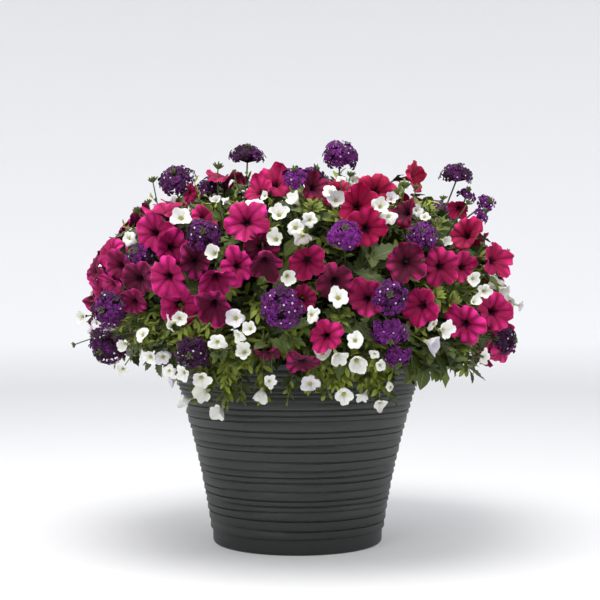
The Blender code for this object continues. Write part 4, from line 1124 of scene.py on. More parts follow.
def petunia_finish():
    velvet = Finish("petunia_petal")
    out, aside, shade, tone = marks_of(velvet)
    base = velvet.mix(tone, seen(152, 5, 78), seen(150, 3, 44))
    # Some flowers turn dark wine: partly their own tone, partly painted shade on those low in the mound.
    base = velvet.mix(velvet.between(shade, 0.30, 1.0) * 0.95, base, seen(66, 0, 28))
    cloud = velvet.between(velvet.noise(42, 3), 0.38, 0.62)
    # Painted highlights: pale pink where the lobes puff up, broken by a cloud, weaker on darker flowers.
    painted_highlight = velvet.mix(tone, seen(228, 44, 148), seen(216, 26, 84))
    puffed_highlight = velvet.between(out, 0.35, 0.85) * velvet.between(aside, 0.06, 0.4)
    puffed_highlight = puffed_highlight * (1 - velvet.between(aside, 0.6, 1.0))
    base = velvet.mix(cloud * puffed_highlight * (0.95 - shade * 0.5), base, painted_highlight)
    middle_vein = 1 - velvet.between(aside, 0.0, 0.10)
    side_vein = velvet.between((aside * 25 + out * 2).sine(), 0.5, 1.0)
    inner = 1 - velvet.between(out, 0.30, 0.95)
    # Dark streaks: the veins are the flower's own, the darkening along the folds between lobes is painted
    # shade.
    fold = velvet.between(aside, 0.62, 1.0) * velvet.between(out, 0.2, 0.5)
    streaks = middle_vein * 0.35 + fold * 0.4 + (middle_vein * 0.4 + side_vein * 0.5) * inner
    base = velvet.mix(streaks, base, seen(70, 0, 34))
    # Painted highlight along each rim.
    base = velvet.mix(velvet.between(out, 0.93, 1.0) * 0.4, base, painted_highlight)
    star = 1 - velvet.between(out + aside * 0.16, 0.14, 0.44)
    base = velvet.mix(star, base, seen(20, 0, 12))
    velvet.paint(
        Base_Color=base,
        Roughness=0.62,
        Specular_IOR_Level=0.18,
        Sheen_Weight=0.08,
        Sheen_Roughness=0.5,
        Sheen_Tint=(1.0, 0.30, 0.62, 1.0),
        Normal=velvet.bump(side_vein * 0.6 + middle_vein * -0.8 + velvet.noise(300, 2) * 0.7, 0.45, 0.0009),
    )
    return velvet


def add_petunia(petals, flower):
    rng = np.random.default_rng(1000 + flower.number)
    columns = PETUNIA_COLUMNS if flower.number < near_count else FAR_PETUNIA_COLUMNS
    points, faces, marks = trumpet(flower, PETUNIA_ROWS, columns, PETUNIA_NOTCH, PETUNIA_CUPS, rng)
    # A petunia's shade: random, then darker or brighter by its brightness, which is partly painted shade.
    marks[:, 2] = min(1.0, max(0.0, marks[0, 2] + 1.6 * (0.4 - flower.brightness)))
    marks[:, 3] = petunia_tone(flower)
    petals.add(kept_inside(points), faces, marks)


bloom_pieces("petunia", "petunia_blooms", petunia_finish(), add_petunia)

# The calibrachoas: like petunias of half the size, white, with five round lobes and a yellow-green throat.
# They open in clusters between the larger flowers and hang with their shoots over the rim.

CALIBRACHOA_ROWS = (
    (0.01, -0.30), (0.17, -0.40), (0.10, -1.20), (0.105, -1.25), (0.120, -0.90), (0.150, -0.58),
    (0.200, -0.36), (0.290, -0.20), (0.440, -0.10), (0.610, -0.03), (0.780, 0.0), (0.910, -0.015),
    (1.0, -0.06),
)
CALIBRACHOA_COLUMNS = 35
CALIBRACHOA_NOTCH = 0.20
CALIBRACHOA_CUPS = (-0.30, -0.10, 0.0, 0.10, 0.22, 0.45, 0.75)
LILAC_SHARE = 0.12


def calibrachoa_finish():
    white = Finish("calibrachoa_petal")
    out, aside, shade, tone = marks_of(white)
    base = white.mix(tone, seen(240, 240, 234), seen(204, 198, 210))
    # Painted shade on the white petals: greyer on some flowers, and in lilac-grey cloudy patches.
    base = white.mix(shade * 0.4, base, seen(196, 197, 186))
    base = white.mix(white.between(white.noise(70, 3), 0.4, 0.65) * 0.3, base, seen(190, 188, 198))
    vein = white.between((aside * 19).sine(), 0.55, 1.0) * 0.6 + (1 - white.between(aside, 0.0, 0.12))
    base = white.mix(vein * (1 - white.between(out, 0.25, 0.9)) * 0.5, base, seen(150, 152, 124))
    base = white.mix((1 - white.between(out, 0.17, 0.38)) * 0.6, base, seen(208, 206, 138))
    base = white.mix(1 - white.between(out, 0.10, 0.19), base, seen(182, 182, 84))
    white.paint(
        Base_Color=base,
        Roughness=0.6,
        Specular_IOR_Level=0.3,
        Sheen_Weight=0.1,
        Normal=white.bump(vein, 0.4, 0.0005),
    )
    return white


def add_calibrachoa(petals, flower):
    rng = np.random.default_rng(2000 + flower.number)
    shape = (CALIBRACHOA_ROWS, CALIBRACHOA_COLUMNS, CALIBRACHOA_NOTCH, CALIBRACHOA_CUPS)
    points, faces, marks = trumpet(flower, *shape, rng)
    marks[:, 3] = 0.8 * (rng.random() < LILAC_SHARE)
    petals.add(kept_inside(points), faces, marks)


bloom_pieces("calibrachoa", "calibrachoa_blooms", calibrachoa_finish(), add_calibrachoa)

# The verbenas: domed heads of small florets. A floret has five notched petals on a thin tube, dark purple to
# violet, some with a white eye, and the tubes meet on a short green spike inside the head.

FLORETS = 38
FAR_FLORETS = 33
LEAST_FLORETS = 9
LOST_FLORETS = 0.06
FLORET_SPAN = math.radians(98)
FLORET_WIDTH = 0.0152
FLORET_EYES = 0.36
FULL_HEAD = 0.0262
HEAD_FLATNESS = (0.55, 0.90)
PETAL_STEPS = ((0.05, 0.05), (0.56, 0.33), (1.0, 0.36))
PETAL_ASIDE = np.array((-1.0, -0.5, 0.0, 0.5, 1.0))
PETAL_NOTCH = 0.20
TUBE_STEPS = np.array((0.0, 0.5, 1.0))[:, None]
TUBE_RADII = (0.0016, 0.0013, 0.0008)
CORE_PROFILE = ((0.03, -0.12), (0.48, -0.10), (0.68, 0.05), (0.58, 0.28), (0.34, 0.42), (0.03, 0.47))
CORE_SIDES = 11
ASKEW = (0.3, 0.2, 0.93)
FLORET_SHIFT = 0.12
FLORET_DEPTHS = (0.76, 1.0)
FLORET_LIFT = (0, 0, 0.25)
FLORET_TURN = 0.15
FLORET_SIZES = (0.82, 1.12)
FLORET_CUPS = (-0.40, 0.25)
FLORET_DROOP = 0.13
FLORET_CRUMPLE = 0.012
FLORET_GLOW = 0.16
PETAL_GLOW = 0.20
SPIKE_DEPTH = 0.25
TUBE_REACH = 0.97
TUBE_SIDES = 4
TUBE_MARKS = (0.5, 0.0, 0.2, 0.0)
# The core is dark wine: painted shade deep inside the head, behind the florets.
CORE_MARKS = (0.5, 0.0, 0.9, 0.0)
CORE_LUMPS = (0.88, 1.08)


def floret_patch():
    """Five notched petals round the middle, one unit in radius, as points, quads and (out, aside)."""
    points, faces, marks = [], [], []
    grid = grid_faces(len(PETAL_STEPS), len(PETAL_ASIDE), False)
    for k in range(5):
        turn = TAU * k / 5
        along = np.array((math.cos(turn), math.sin(turn)))
        beside = np.array((-math.sin(turn), math.cos(turn)))
        for n, (out, half) in enumerate(PETAL_STEPS):
            for aside in PETAL_ASIDE:
                dip = PETAL_NOTCH * (1 - abs(aside)) + 0.16 * aside**4 if n == len(PETAL_STEPS) - 1 else 0.0
                x, y = (out - dip) * along + half * aside * beside
                points.append((x, y, 0.14 * out**2 - 0.20 * aside**2 * out - 0.4 * max(0, out - 0.7)))
                marks.append((out, abs(aside)))
        faces.append(grid + k * len(PETAL_STEPS) * len(PETAL_ASIDE))
    return np.array(points), np.concatenate(faces), np.array(marks)


def head_florets(flower):
    """Places and facings of a head's florets on its dome, by the golden angle, in the head's own axes."""
    rng = np.random.default_rng(3000 + flower.number)
    share = flower.radius / FULL_HEAD
    count = max(LEAST_FLORETS, round((FLORETS if flower.number < near_count else FAR_FLORETS) * share**2))
    cosine = 1 + (math.cos(FLORET_SPAN) - 1) * (np.arange(count) + 0.5) / count
    polar = np.arccos(cosine)
    around = np.arange(count) * GOLDEN_ANGLE + rng.normal(0, FLORET_SHIFT, count)
    facing = ring(np.sin(polar), around, np.cos(polar))
    flat = np.array((1, 1, rng.uniform(*HEAD_FLATNESS)))
    place = facing * flat * flower.radius * rng.uniform(*FLORET_DEPTHS, count)[:, None]
    facing = facing + FLORET_LIFT + rng.normal(0, FLORET_TURN, (count, 3))
    kept = rng.random(count) > LOST_FLORETS
    return place[kept], units(facing)[kept], rng


def turned_frames(facing, roll):
    """For each direction, three axes: two across it, turned by roll, and the direction."""
    helper = np.where(np.abs(facing[:, 2:3]) < 0.9, np.array((0, 0, 1.0)), np.array((1.0, 0, 0)))
    side = units(np.cross(helper, facing))
    other = np.cross(facing, side)
    c, s = np.cos(roll)[:, None], np.sin(roll)[:, None]
    return np.stack([c * side + s * other, c * other - s * side, facing], axis=1)


FLORET_POINTS, FLORET_FACES, FLORET_MARKS = floret_patch()


def add_tube(growth, path, radii, sides, marks):
    """A round stem or tube along a path."""
    path = kept_inside(np.asarray(path), np.max(radii))
    along = units(np.gradient(path, axis=0))
    side = unit(np.cross(along[0], ASKEW))
    angle = round_angles(sides)[:, None]
    rings = []
    for centre, direction, radius in zip(path, along, np.broadcast_to(radii, len(path))):
        side = unit(side - direction * (side @ direction))
        other = np.cross(direction, side)
        rings.append(centre + radius * (np.cos(angle) * side + np.sin(angle) * other))
    growth.add(np.concatenate(rings), grid_faces(len(path), sides), marks)


def add_head(growth, flower):
    """A head of florets, each on its tube. Its marks: how far out, how far aside, the floret's shade and its
    brightness."""
    place, facing, rng = head_florets(flower)
    count = len(place)
    axes = turned_frames(facing, rng.uniform(0, TAU, count))
    width = FLORET_WIDTH / 2 * rng.uniform(*FLORET_SIZES, count)
    cup = rng.uniform(*FLORET_CUPS, count)
    droop = rng.normal(0, FLORET_DROOP, (count, 5, 1))
    local = np.repeat(FLORET_POINTS.reshape(5, -1, 3)[None], count, axis=0)
    spread = local[..., 0] ** 2 + local[..., 1] ** 2
    local[..., 2] += (cup[:, None, None] + droop) * spread
    local = local.reshape(count, -1, 3) + rng.normal(0, FLORET_CRUMPLE, (count, len(FLORET_POINTS), 3))
    points = np.einsum("nki,nij->nkj", local * width[:, None, None], axes) + place[:, None]
    points = points @ flower.axes() + flower.place
    marks = np.zeros((count, len(FLORET_POINTS), 4))
    marks[:, :, :2] = FLORET_MARKS
    marks[:, :, 2] = rng.random(count)[:, None]
    lit = flower.brightness + rng.normal(0, FLORET_GLOW, (count, 1)) + rng.normal(0, PETAL_GLOW, (count, 5))
    marks[:, :, 3] = np.repeat(np.clip(lit, 0, 1), len(FLORET_POINTS) // 5, axis=1)
    growth.add_many(kept_inside(points.reshape(-1, 3)).reshape(points.shape), FLORET_FACES, marks)
    foot = flower.place - flower.facing * flower.radius * SPIKE_DEPTH
    for spot in place @ flower.axes() * TUBE_REACH + flower.place:
        add_tube(growth, foot + (spot - foot) * TUBE_STEPS, TUBE_RADII, TUBE_SIDES, TUBE_MARKS)
    level, rise = np.array(CORE_PROFILE).T[:, :, None] * flower.radius
    lumps = rng.uniform(*CORE_LUMPS, (len(CORE_PROFILE), CORE_SIDES))[:, :, None]
    core = ring(level, round_angles(CORE_SIDES), rise) * lumps
    core = kept_inside(core.reshape(-1, 3) @ flower.axes() + flower.place)
    growth.add(core, grid_faces(len(CORE_PROFILE), CORE_SIDES), CORE_MARKS)


def verbena_finish():
    violet = Finish("verbena_petal")
    out, aside, shade, brightness = marks_of(violet)
    base = violet.mix(brightness, seen(40, 2, 34), seen(112, 20, 120))
    base = violet.mix(shade * 0.5, base, violet.mix(brightness, seen(14, 1, 16), seen(56, 6, 60)))
    rim = violet.between(out, 0.55, 1.0) * violet.between(aside, 0.1, 1.0)
    base = violet.mix(rim * (0.10 + brightness * 0.45), base, seen(152, 66, 172))
    base = violet.mix((1 - violet.between(out, 0.12, 0.50)) * 0.75, base, seen(14, 1, 16))
    eye = violet.between(shade, 1 - FLORET_EYES, 1.02 - FLORET_EYES) * (1 - violet.between(out, 0.09, 0.19))
    base = violet.mix(eye, base, seen(222, 216, 226))
    violet.paint(
        Base_Color=base,
        Roughness=0.62,
        Specular_IOR_Level=0.18,
        Sheen_Weight=0.04,
        Sheen_Tint=(0.8, 0.45, 0.9, 1.0),
        Normal=violet.bump(violet.noise(500, 2), 0.25, 0.0004),
    )
    return violet


bloom_pieces("verbena", "verbena_heads", verbena_finish(), add_head)

# The greenery: the stems and side stems of every shoot, leafy sprigs that fill the mound between the flowers,
# and the leaves on them. Petunia leaves are broad and soft, verbena leaves toothed and grey-green, and
# calibrachoa leaves small, narrow and lime green.

LEAF_SIZES = {"petunia": (0.046, 0.024), "verbena": (0.042, 0.023), "calibrachoa": (0.0185, 0.0075)}
LEAF_ROWS = {
    "petunia": (
        (0.0, 0.05), (0.10, 0.16), (0.25, 0.62), (0.42, 0.95), (0.60, 0.98), (0.78, 0.72),
        (0.92, 0.32), (1.0, 0.03),
    ),
    "verbena": (
        (0.0, 0.05), (0.12, 0.14), (0.22, 0.60), (0.28, 0.50), (0.38, 0.94), (0.44, 0.74), (0.55, 1.0),
        (0.61, 0.72), (0.71, 0.82), (0.77, 0.50), (0.86, 0.52), (0.91, 0.26), (1.0, 0.03),
    ),
    "calibrachoa": ((0.0, 0.10), (0.22, 0.60), (0.52, 1.0), (0.80, 0.72), (1.0, 0.05)),
}
LEAF_ASIDE = {
    "petunia": (-1.0, -0.5, 0.0, 0.5, 1.0),
    "verbena": (-1.0, -0.5, 0.0, 0.5, 1.0),
    "calibrachoa": (-1.0, 0.0, 1.0),
}
FLOWER_PLACES = np.array([f.place for f in flowers])
FLOWER_FACINGS = np.array([f.facing for f in flowers])
FLOWER_RADII = np.array([f.radius for f in flowers])
CLEAR_IN_FRONT = 0.05
CLEAR_BEHIND = 0.30
FACE_SHARE = 0.97
WALL_SPARE = 0.001
CUT_DEPTH = 0.008
CLING_DROP = 0.012
CLING_REACH = 0.03
BROAD_LEAF_REACH = 0.985
BROAD_LEAF_FROM = 0.290
LEAF_TURN = 0.30
LEAF_OUT = 3.0
LEAF_ARCH = (-0.05, 0.35)
LEAF_FOLD = (0.12, 0.40)
LEAF_WAVE = 0.03
LEAVES_FROM = 0.25
LEAF_VARIETY = (0.75, 1.15)
AGE_AND_LIGHT_VARIETY = 0.10


def in_the_way(points, broad):
    """Which leaves hide a flower's face, cut the pot's wall or leave the planting's box, and which broad ones
    cling to the pot's wall below its rim or stand out of the mound. Points: leaf, point, xyz."""
    spots = points[:, :: max(1, points.shape[1] // 6)]
    apart = spots[:, :, None] - FLOWER_PLACES
    lift = np.einsum("npfk,fk->npf", apart, FLOWER_FACINGS)
    level = np.sqrt(np.clip((apart**2).sum(axis=3) - lift**2, 0, None))
    hides = (lift > -CLEAR_BEHIND * FLOWER_RADII) & (lift < CLEAR_IN_FRONT)
    hides &= level < FACE_SHARE * FLOWER_RADII
    level, height = np.hypot(points[..., 0], points[..., 1]), points[..., 2]
    wall = wall_radius(height)
    cuts = (height < POT_HEIGHT + WALL_SPARE) & (level > wall - CUT_DEPTH) & (level < wall + WALL_SPARE)
    clings = (height < POT_HEIGHT - CLING_DROP) & (level < wall + CLING_REACH) & broad
    leaves_box = (points < np.array(cad_box[0])) | (points > np.array(cad_box[1]))
    over = np.where(height > MOUND_MIDDLE, MOUND_RISE, MOUND_DROP)
    outward = (level / MOUND_RADIUS) ** MOUND_POWER + (np.abs(height - MOUND_MIDDLE) / over) ** MOUND_POWER
    stands_out = (outward > BROAD_LEAF_REACH**MOUND_POWER) & (height > BROAD_LEAF_FROM) & broad
    return hides.any(axis=(1, 2)) | leaves_box.any(axis=(1, 2)) | (cuts | clings | stands_out).any(axis=1)


def add_leaves(growth, kind, roots, directions, sizes, ages_and_light, rng):
    """Leaves of one kind: each folded along its rib, arched, a little wavy, and turned face up."""
    rows, aside = np.array(LEAF_ROWS[kind]), np.array(LEAF_ASIDE[kind])
    length, width = LEAF_SIZES[kind]
    count = len(roots)
    directions = units(directions)
    upward = np.array((0, 0, 1.0)) + LEAF_TURN * rng.normal(0, 1, (count, 3)) + LEAF_OUT * roots * (1, 1, 0)
    beside = units(np.cross(directions, upward))
    above = np.cross(beside, directions)
    t = rows[:, 0][:, None]
    half = rows[:, 1][:, None] * aside[None]
    arch = rng.uniform(*LEAF_ARCH, count)[:, None, None]
    fold = rng.uniform(*LEAF_FOLD, count)[:, None, None]
    wave = rng.normal(0, LEAF_WAVE, (count, 1, 1)) * np.sin(9 * t + 4 * half)
    size = sizes[:, None, None]
    along = size * length * np.broadcast_to(t, half.shape)[None]
    across = size * width / 2 * half[None]
    lift = size * length * (arch * (t - 1.5 * t**2) + wave) + size * width / 2 * fold * np.abs(half)[None]
    points = (
        roots[:, None, None, :]
        + along[..., None] * directions[:, None, None, :]
        + across[..., None] * beside[:, None, None, :]
        + lift[..., None] * above[:, None, None, :]
    )
    marks = np.zeros(points.shape[:3] + (4,))
    marks[..., 0] = t
    marks[..., 1] = np.abs(aside)
    marks[..., 2] = rng.random(count)[:, None, None]
    marks[..., 3] = ages_and_light[:, None, None]
    points = points.reshape(count, -1, 3)
    kept = ~in_the_way(points, kind != "calibrachoa")
    if kept.any():
        quads = grid_faces(len(rows), len(aside), False)
        growth.add_many(points[kept], quads, marks.reshape(count, -1, 4)[kept])


def stem_marks(age_and_light, rng):
    """The marks of a stem in a piece of leaves: no ribs, one shade."""
    return (0, 0.2, rng.random(), age_and_light)


def leafy_sprig(growth, kind, path, count, size, youth_and_light, rng):
    """Leaves round the outer two thirds of a path, each turned from the one before by the golden angle."""
    share = np.linspace(LEAVES_FROM, 1.0, count)
    roots, ahead, behind = (part_way(path, place) for place in (share, share * 0.97 + 0.03, share * 0.97))
    along = (ahead - behind) / (np.linalg.norm(ahead - behind, axis=1)[:, None] + 1e-9)
    frames = turned_frames(along, np.arange(count) * GOLDEN_ANGLE + rng.uniform(0, TAU))
    spread = 1.25 - 0.6 * share[:, None]
    directions = along * (0.35 + 0.35 * share[:, None]) + frames[:, 0] * spread
    sizes = size * rng.uniform(*LEAF_VARIETY, count) * (1.12 - 0.40 * share**3)
    ages_and_light = np.clip(youth_and_light * (0.35 + 0.65 * share) + rng.normal(0, AGE_AND_LIGHT_VARIETY, count), 0, 1)
    add_leaves(growth, kind, roots, directions, sizes, ages_and_light, rng)


def add_calyx(growth, flower, rng):
    """Green sepals round the foot of a flower's tube."""
    foot = flower.behind(TUBE_END[flower.kind] + 0.05)
    first, second, along = flower.axes()
    turns = TAU * np.arange(SEPALS) / SEPALS
    spokes = np.cos(turns)[:, None] * first + np.sin(turns)[:, None] * second
    roots = foot + spokes * flower.radius * 0.05
    sizes, ages_and_light = np.full(SEPALS, SEPAL_SIZE[flower.kind]), np.full(SEPALS, 0.5)
    add_leaves(growth, "calibrachoa", roots, along + SEPAL_SPREAD * spokes, sizes, ages_and_light, rng)


BUD_STEPS = np.array((0.0, 0.30, 0.62, 0.85, 1.0))[:, None]
BUD_RADII = np.array((0.05, 0.10, 0.13, 0.09, 0.015))
BUD_SIDES = 5


def add_buds(growth, place, direction, spread, length, count, rng):
    """A tuft of narrow pointed buds."""
    spots = turned_frames(np.repeat(unit(direction)[None], count, axis=0), np.arange(count) * GOLDEN_ANGLE)
    lean = np.sqrt((np.arange(count) + 0.5) / count)[:, None] * spread
    for way in units(spots[:, 2] + lean * spots[:, 0]):
        path = place + way * BUD_STEPS * length * rng.uniform(0.8, 1.1)
        add_tube(growth, path, length * BUD_RADII, BUD_SIDES, stem_marks(0.95, rng))


# How many sprigs in each layer, from and to what depth in the mound their tips lie, and how young they are;
# the deeper layers are older and darker, partly leaf age and partly painted shade
SPRIG_LAYERS = ((330, 0.006, 0.022, 0.85), (180, 0.024, 0.055, 0.35), (100, 0.060, 0.100, 0.0))
SPRIG_LOWEST = -0.50
SPRIG_START = 0.5
SPRIG_TURN = 40
SIDE_LOWEST = 0.247
SIDE_FROM = 0.150
# Sprigs low on the mound keep less of the young colour: painted shade low on the mound.
LOW_YOUTH_AND_LIGHT = 0.55
LEAVES_A_SPRIG = {"petunia": 8, "verbena": 8, "calibrachoa": 22}
LIME_BELOW = 0.285
FINE_ABOVE = 0.435
LOW_CALIBRACHOAS = 0.8
TOP_FINE = 0.75
TOP_CALIBRACHOAS = 0.6
# The buds in the middle of a verbena head: how far they spread, their length and their number
HEAD_BUDS = (0.7, 0.010, 8)
# Leaves on stems and stalks: how many, how large, and how young and lit, partly age and partly painted light
STEM_LEAVES = (6, 1.0, 0.2)
HEAD_STALK_LEAVES = (3, 0.8, 0.6)
STALK_LEAVES = (5, 0.8, 0.7)
SEPALS = 5
SEPAL_SPREAD = 0.35
SEPAL_SIZE = {"petunia": 0.95, "calibrachoa": 0.5}
STEM_SIDES = 7
STALK_SIDES = 5
SPRIG_STEPS = 9
SPRIG_OVER_RIM = 0.03
STEM_OFF_WALL = 0.006
STEM_OFF_RIM = 0.008
RIM_REACH = 0.02


def sprig_kind(place, rng):
    """Which plant grows a sprig at a place: calibrachoa mostly, low down and on top."""
    near = sorted(flowers, key=lambda f: np.linalg.norm(f.place - place))[:5]
    if place[2] < LIME_BELOW:
        return "calibrachoa" if rng.random() < LOW_CALIBRACHOAS else "verbena"
    if place[2] > FINE_ABOVE and rng.random() < TOP_FINE:
        return "calibrachoa" if rng.random() < TOP_CALIBRACHOAS else "verbena"
    return near[rng.integers(0, len(near))].kind


def shoot_near(kind, place):
    return min((s for s in shoots if s.kind == kind), key=lambda s: np.linalg.norm(s.stem[-1] - place))


def clear_of_pot(path):
    """Moves the points of a path that would cut the pot's wall or rim outwards."""
    level = np.linalg.norm(path[:, :2], axis=1)
    least = wall_radius(np.minimum(path[:, 2], POT_HEIGHT)) + STEM_OFF_WALL
    outside = (path[:, 2] < POT_HEIGHT + STEM_OFF_RIM) & (level > wall_radius(POT_HEIGHT) - RIM_REACH)
    path[outside, :2] *= (np.maximum(level, least) / level)[outside, None]
    return path


def add_sprig(kind, tip, normal, share, youth_and_light, rng):
    """One leafy side shoot, from a stem of its kind out to a tip near the mound's surface."""
    home = shoot_near(kind, tip)
    start = home.at(share)
    reach = np.linalg.norm(tip - start)
    lift = np.array((0, 0, 0.25 * reach + (SPRIG_OVER_RIM if tip[2] < POT_HEIGHT else 0.0)))
    rise = start + lift + (tip - start) * 0.2
    path = curve(start, rise, tip - normal * 0.3 * reach + lift * 0.5, tip, SPRIG_STEPS)
    path = clear_of_pot(path)
    growth = greens[kind, home.sector()]
    thin = STALK_RADIUS[kind]
    radii = np.linspace(thin * 1.2, thin * 0.6, len(path))
    add_tube(growth, path, radii, STALK_SIDES, stem_marks(0.5, rng))
    leafy_sprig(growth, kind, path, LEAVES_A_SPRIG[kind], rng.uniform(0.8, 1.1), youth_and_light, rng)


greens = {(kind, sector): Growth() for kind in SHOOTS for sector in SECTORS}
for shoot in shoots:
    rng = np.random.default_rng(4000 + int(shoot.node[-2:]))
    growth = greens[shoot.kind, shoot.sector()]
    thin = STALK_RADIUS[shoot.kind]
    radii = np.linspace(STEM_RADIUS[shoot.kind], thin * 1.3, len(shoot.stem))
    add_tube(growth, shoot.stem, radii, STEM_SIDES, stem_marks(0.3, rng))
    leafy_sprig(growth, shoot.kind, shoot.stem[3:], *STEM_LEAVES, rng)
    for flower, path in zip(shoot.in_order, shoot.stalks):
        radii = np.linspace(thin, thin * 1.1, len(path))
        add_tube(growth, path, radii, STALK_SIDES, stem_marks(0.6, rng))
        if shoot.kind == "verbena":
            leafy_sprig(growth, "verbena", path[3:][::-1], *HEAD_STALK_LEAVES, rng)
            middle = flower.place + flower.facing * flower.radius * 0.40
            add_buds(growth, middle, flower.facing, *HEAD_BUDS, rng)
        else:
            leafy_sprig(growth, shoot.kind, path[::-1], *STALK_LEAVES, rng)
            add_calyx(growth, flower, rng)

sprig_rng = np.random.default_rng(77)
for count, shallow, deep, youth_and_light in SPRIG_LAYERS:
    for surface in golden_spiral(count, SPRIG_LOWEST, SPRIG_START, SPRIG_TURN * deep):
        if surface[2] < SIDE_LOWEST and abs(surface[0]) > SIDE_FROM:
            continue
        normal = mound_normal(surface)
        kind = sprig_kind(surface, sprig_rng)
        tip = surface - normal * sprig_rng.uniform(shallow, deep)
        age_and_light = youth_and_light * (LOW_YOUTH_AND_LIGHT if surface[2] < LIME_BELOW else 1.0)
        add_sprig(kind, tip, normal, sprig_rng.uniform(0.45, 0.8), age_and_light, sprig_rng)

# Where the side in the picture has more of one leaf: rosettes of large leaves, and young trails over the rim.
# A rosette has its place, in millimetres as for the flowers, its plant, its number of leaves and their size.
# A curtain of trails has its sides, its lowest and highest tips, its plant and its number of trails.

ROSETTES = (
    (104, 398, "verbena", 9, 1.15), (84, 384, "verbena", 7, 1.05), (128, 372, "verbena", 6, 0.95),
    (196, 250, "petunia", 8, 0.9), (168, 258, "petunia", 7, 0.85), (226, 256, "petunia", 7, 0.8),
    (200, 340, "calibrachoa", 18, 1.2), (224, 330, "calibrachoa", 18, 1.2), (140, 300, "verbena", 6, 0.9),
    (-200, 248, "verbena", 8, 0.8), (-228, 300, "verbena", 8, 0.9), (-214, 274, "verbena", 7, 0.8),
    (-213, 452, "verbena", 10, 0.8), (-20, 402, "petunia", 6, 0.7), (0, 376, "verbena", 6, 0.8),
    (252, 300, "petunia", 6, 0.7), (48, 310, "verbena", 6, 0.8), (-20, 290, "verbena", 9, 0.8),
    (-8, 274, "calibrachoa", 20, 1.1), (-26, 262, "calibrachoa", 18, 1.0),
    (244, 236, "calibrachoa", 16, 1.2), (-150, 280, "calibrachoa", 20, 1.1),
    (60, 460, "calibrachoa", 20, 1.1), (146, 480, "calibrachoa", 16, 0.9),
    (170, 476, "calibrachoa", 18, 1.0), (192, 470, "calibrachoa", 16, 0.9),
    (208, 450, "calibrachoa", 18, 1.0), (-86, 472, "calibrachoa", 18, 1.0),
    (22, 476, "calibrachoa", 18, 1.0), (-186, 276, "calibrachoa", 18, 1.0),
    (-170, 262, "calibrachoa", 16, 0.9), (-48, 270, "calibrachoa", 14, 0.8),
)
CURTAINS = (
    (-140, -44, 196, 268, "calibrachoa", 36), (12, 148, 204, 252, "calibrachoa", 36),
    (-206, -150, 250, 268, "verbena", 6), (160, 256, 238, 272, "verbena", 16),
    (176, 244, 246, 268, "petunia", 5), (-150, 150, 252, 290, "verbena", 10),
    (190, 258, 240, 276, "calibrachoa", 12), (-230, -160, 262, 300, "calibrachoa", 12),
)

ROSETTE_OUT = -4
ROSETTE_FOOT = 0.022
ROSETTE_HEART = 0.008
ROSETTE_ROOTS = 0.020
ROSETTE_FROM = 0.7
ROSETTE_STEPS = 8
ROSETTE_RISES = (0.9, 0.25)
ROSETTE_SIZES = (0.6, 1.1)
ROSETTE_AGES_AND_LIGHT = (0.35, 0.9)
CURTAIN_OUT = -3

rosette_rng = np.random.default_rng(78)
for across, up, kind, count, size in ROSETTES:
    middle = on_mound(across, up, ROSETTE_OUT)
    normal = mound_normal(middle)
    spokes = turned_frames(np.repeat(normal[None], count, axis=0), np.arange(count) * GOLDEN_ANGLE)[:, 0]
    directions = spokes + normal * np.linspace(*ROSETTE_RISES, count)[:, None]
    sizes = size * np.linspace(*ROSETTE_SIZES, count)
    home = shoot_near(kind, middle)
    foot = middle - normal * ROSETTE_FOOT
    start = home.at(ROSETTE_FROM)
    rise = start + (foot - start) * 0.3 + (0, 0, 0.02)
    path = clear_of_pot(curve(start, rise, foot - normal * 0.03, foot, ROSETTE_STEPS))
    growth = greens[kind, home.sector()]
    path = np.vstack([path, middle - normal * ROSETTE_HEART])
    add_tube(growth, path, STALK_RADIUS[kind], STALK_SIDES, stem_marks(0.5, rosette_rng))
    roots = middle - normal * np.linspace(ROSETTE_HEART, ROSETTE_ROOTS, count)[:, None]
    ages_and_light = rosette_rng.uniform(*ROSETTE_AGES_AND_LIGHT, count)
    add_leaves(growth, kind, roots, directions, sizes, ages_and_light, rosette_rng)
for left, right, low, high, kind, count in CURTAINS:
    for _ in range(count):
        tip = on_mound(rosette_rng.uniform(left, right), rosette_rng.uniform(low, high), CURTAIN_OUT)
        youth_and_light = rosette_rng.uniform(0.25, 0.95)
        add_sprig(kind, tip, mound_normal(tip), rosette_rng.uniform(0.5, 0.9), youth_and_light, rosette_rng)

# The tufts of unopened buds that stand out of the mound on thin stems of their own. Each has its place and
# the place where its stem leaves the leaves, in millimetres as for the flowers, then its buds' length and
# their number.

TUFTS = (
    (-202, 501, -196, 474, 10, 12), (-111, 519, -114, 496, 10, 12), (-88, 514, -87, 488, 5, 14),
    (74, 508, 70, 486, 9, 9), (150, 492, 148, 466, 11, 14), (140, 484, 142, 466, 9, 10),
    (294, 405, 297, 380, 6, 8), (238, 470, 224, 450, 8, 9), (-311, 274, -283, 284, 6, 12),
    (258, 410, 250, 396, 8, 9), (96, 304, 98, 292, 8, 8), (-44, 350, -40, 338, 7, 8),
    (-222, 458, -214, 446, 9, 12), (-208, 470, -204, 452, 8, 10), (166, 490, 164, 470, 8, 10),
    (204, 476, 202, 458, 8, 10), (-50, 277, -44, 288, 8, 14),
)
TUFT_OUT = -4
TUFT_STEM = (0.0013, 0.0008)
TUFT_SPREAD = 1.3
TUFT_FROM = 0.8
TUFT_STEPS = 10

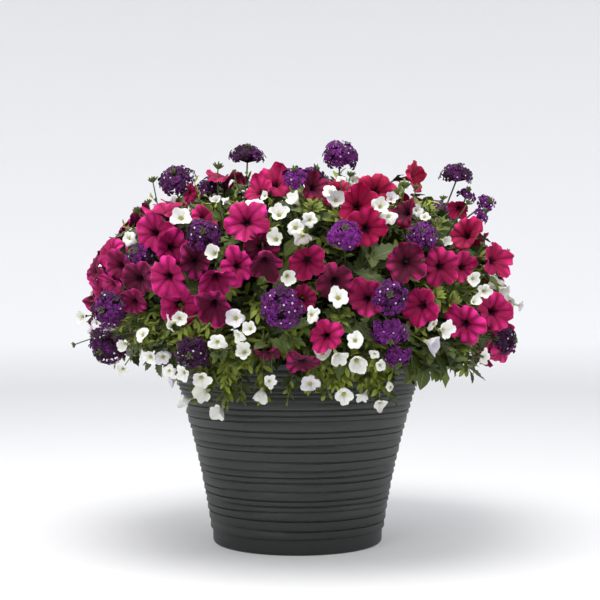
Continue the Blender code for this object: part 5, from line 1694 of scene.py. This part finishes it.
tuft_rng = np.random.default_rng(79)
for across, up, foot_across, foot_up, length, count in TUFTS:
    foot = on_mound(foot_across, foot_up, TUFT_OUT)
    rise = np.array(((across - foot_across) / 1000, 0.0, (up - foot_up) / 1000)) * 0.9
    home = shoot_near("verbena", foot)
    start = home.at(TUFT_FROM)
    path = curve(start, start + (foot - start) * 0.5, foot - rise * 0.8, foot + rise, TUFT_STEPS)
    growth = greens["verbena", home.sector()]
    add_tube(growth, path, np.linspace(*TUFT_STEM, len(path)), STALK_SIDES, stem_marks(0.7, tuft_rng))
    add_buds(growth, foot + rise, unit(rise), TUFT_SPREAD, length / 1000, count, tuft_rng)


def leaf_finish(kind, old_and_shaded, young_and_lit, rib, gloss, hair):
    leaf = Finish(f"{kind}_leaf")
    along, aside, shade, age_and_light = marks_of(leaf)
    old_and_shaded, young_and_lit, rib = seen(*old_and_shaded), seen(*young_and_lit), seen(*rib)
    # Old to young runs from deep in the mound out to its surface: leaf age and painted shade together.
    base = leaf.mix(age_and_light, old_and_shaded, young_and_lit)
    base = leaf.mix(shade * 0.5, base, tuple(c * 0.6 for c in old_and_shaded))
    mottled = leaf.noise(60, 3)
    base = leaf.mix(mottled * age_and_light * 0.35, base, young_and_lit)
    middle = (1 - leaf.between(aside, 0.0, 0.12)) * leaf.between(along, 0.02, 0.1)
    side_rib = leaf.between((along * 46 - aside * 9).sine(), 0.72, 1.0)
    base = leaf.mix(middle * 0.45 + side_rib * 0.14, base, rib)
    leaf.paint(
        Base_Color=base,
        Roughness=gloss,
        Specular_IOR_Level=0.35,
        Sheen_Weight=hair,
        Normal=leaf.bump(side_rib * 0.5 + middle * 0.5, 0.5, 0.0008),
    )
    return leaf


# For each plant its old, young and rib colours, then how rough and how hairy its leaves are. The old colour
# is the dark green of leaves in the mound's shadow, painted shade as well as age.
LEAF_LOOKS = {
    "petunia": ((24, 38, 8), (98, 116, 34), (122, 142, 70), 0.5, 0.04),
    "verbena": ((24, 37, 12), (88, 105, 42), (116, 134, 78), 0.55, 0.06),
    "calibrachoa": ((30, 46, 8), (148, 162, 54), (160, 174, 84), 0.5, 0.04),
}
leaf_finishes = {kind: leaf_finish(kind, *look) for kind, look in LEAF_LOOKS.items()}
for (kind, sector), growth in greens.items():
    dress(growth.piece(f"{kind}_leaves_{sector}", leaf_finishes[kind]), kind, sector)
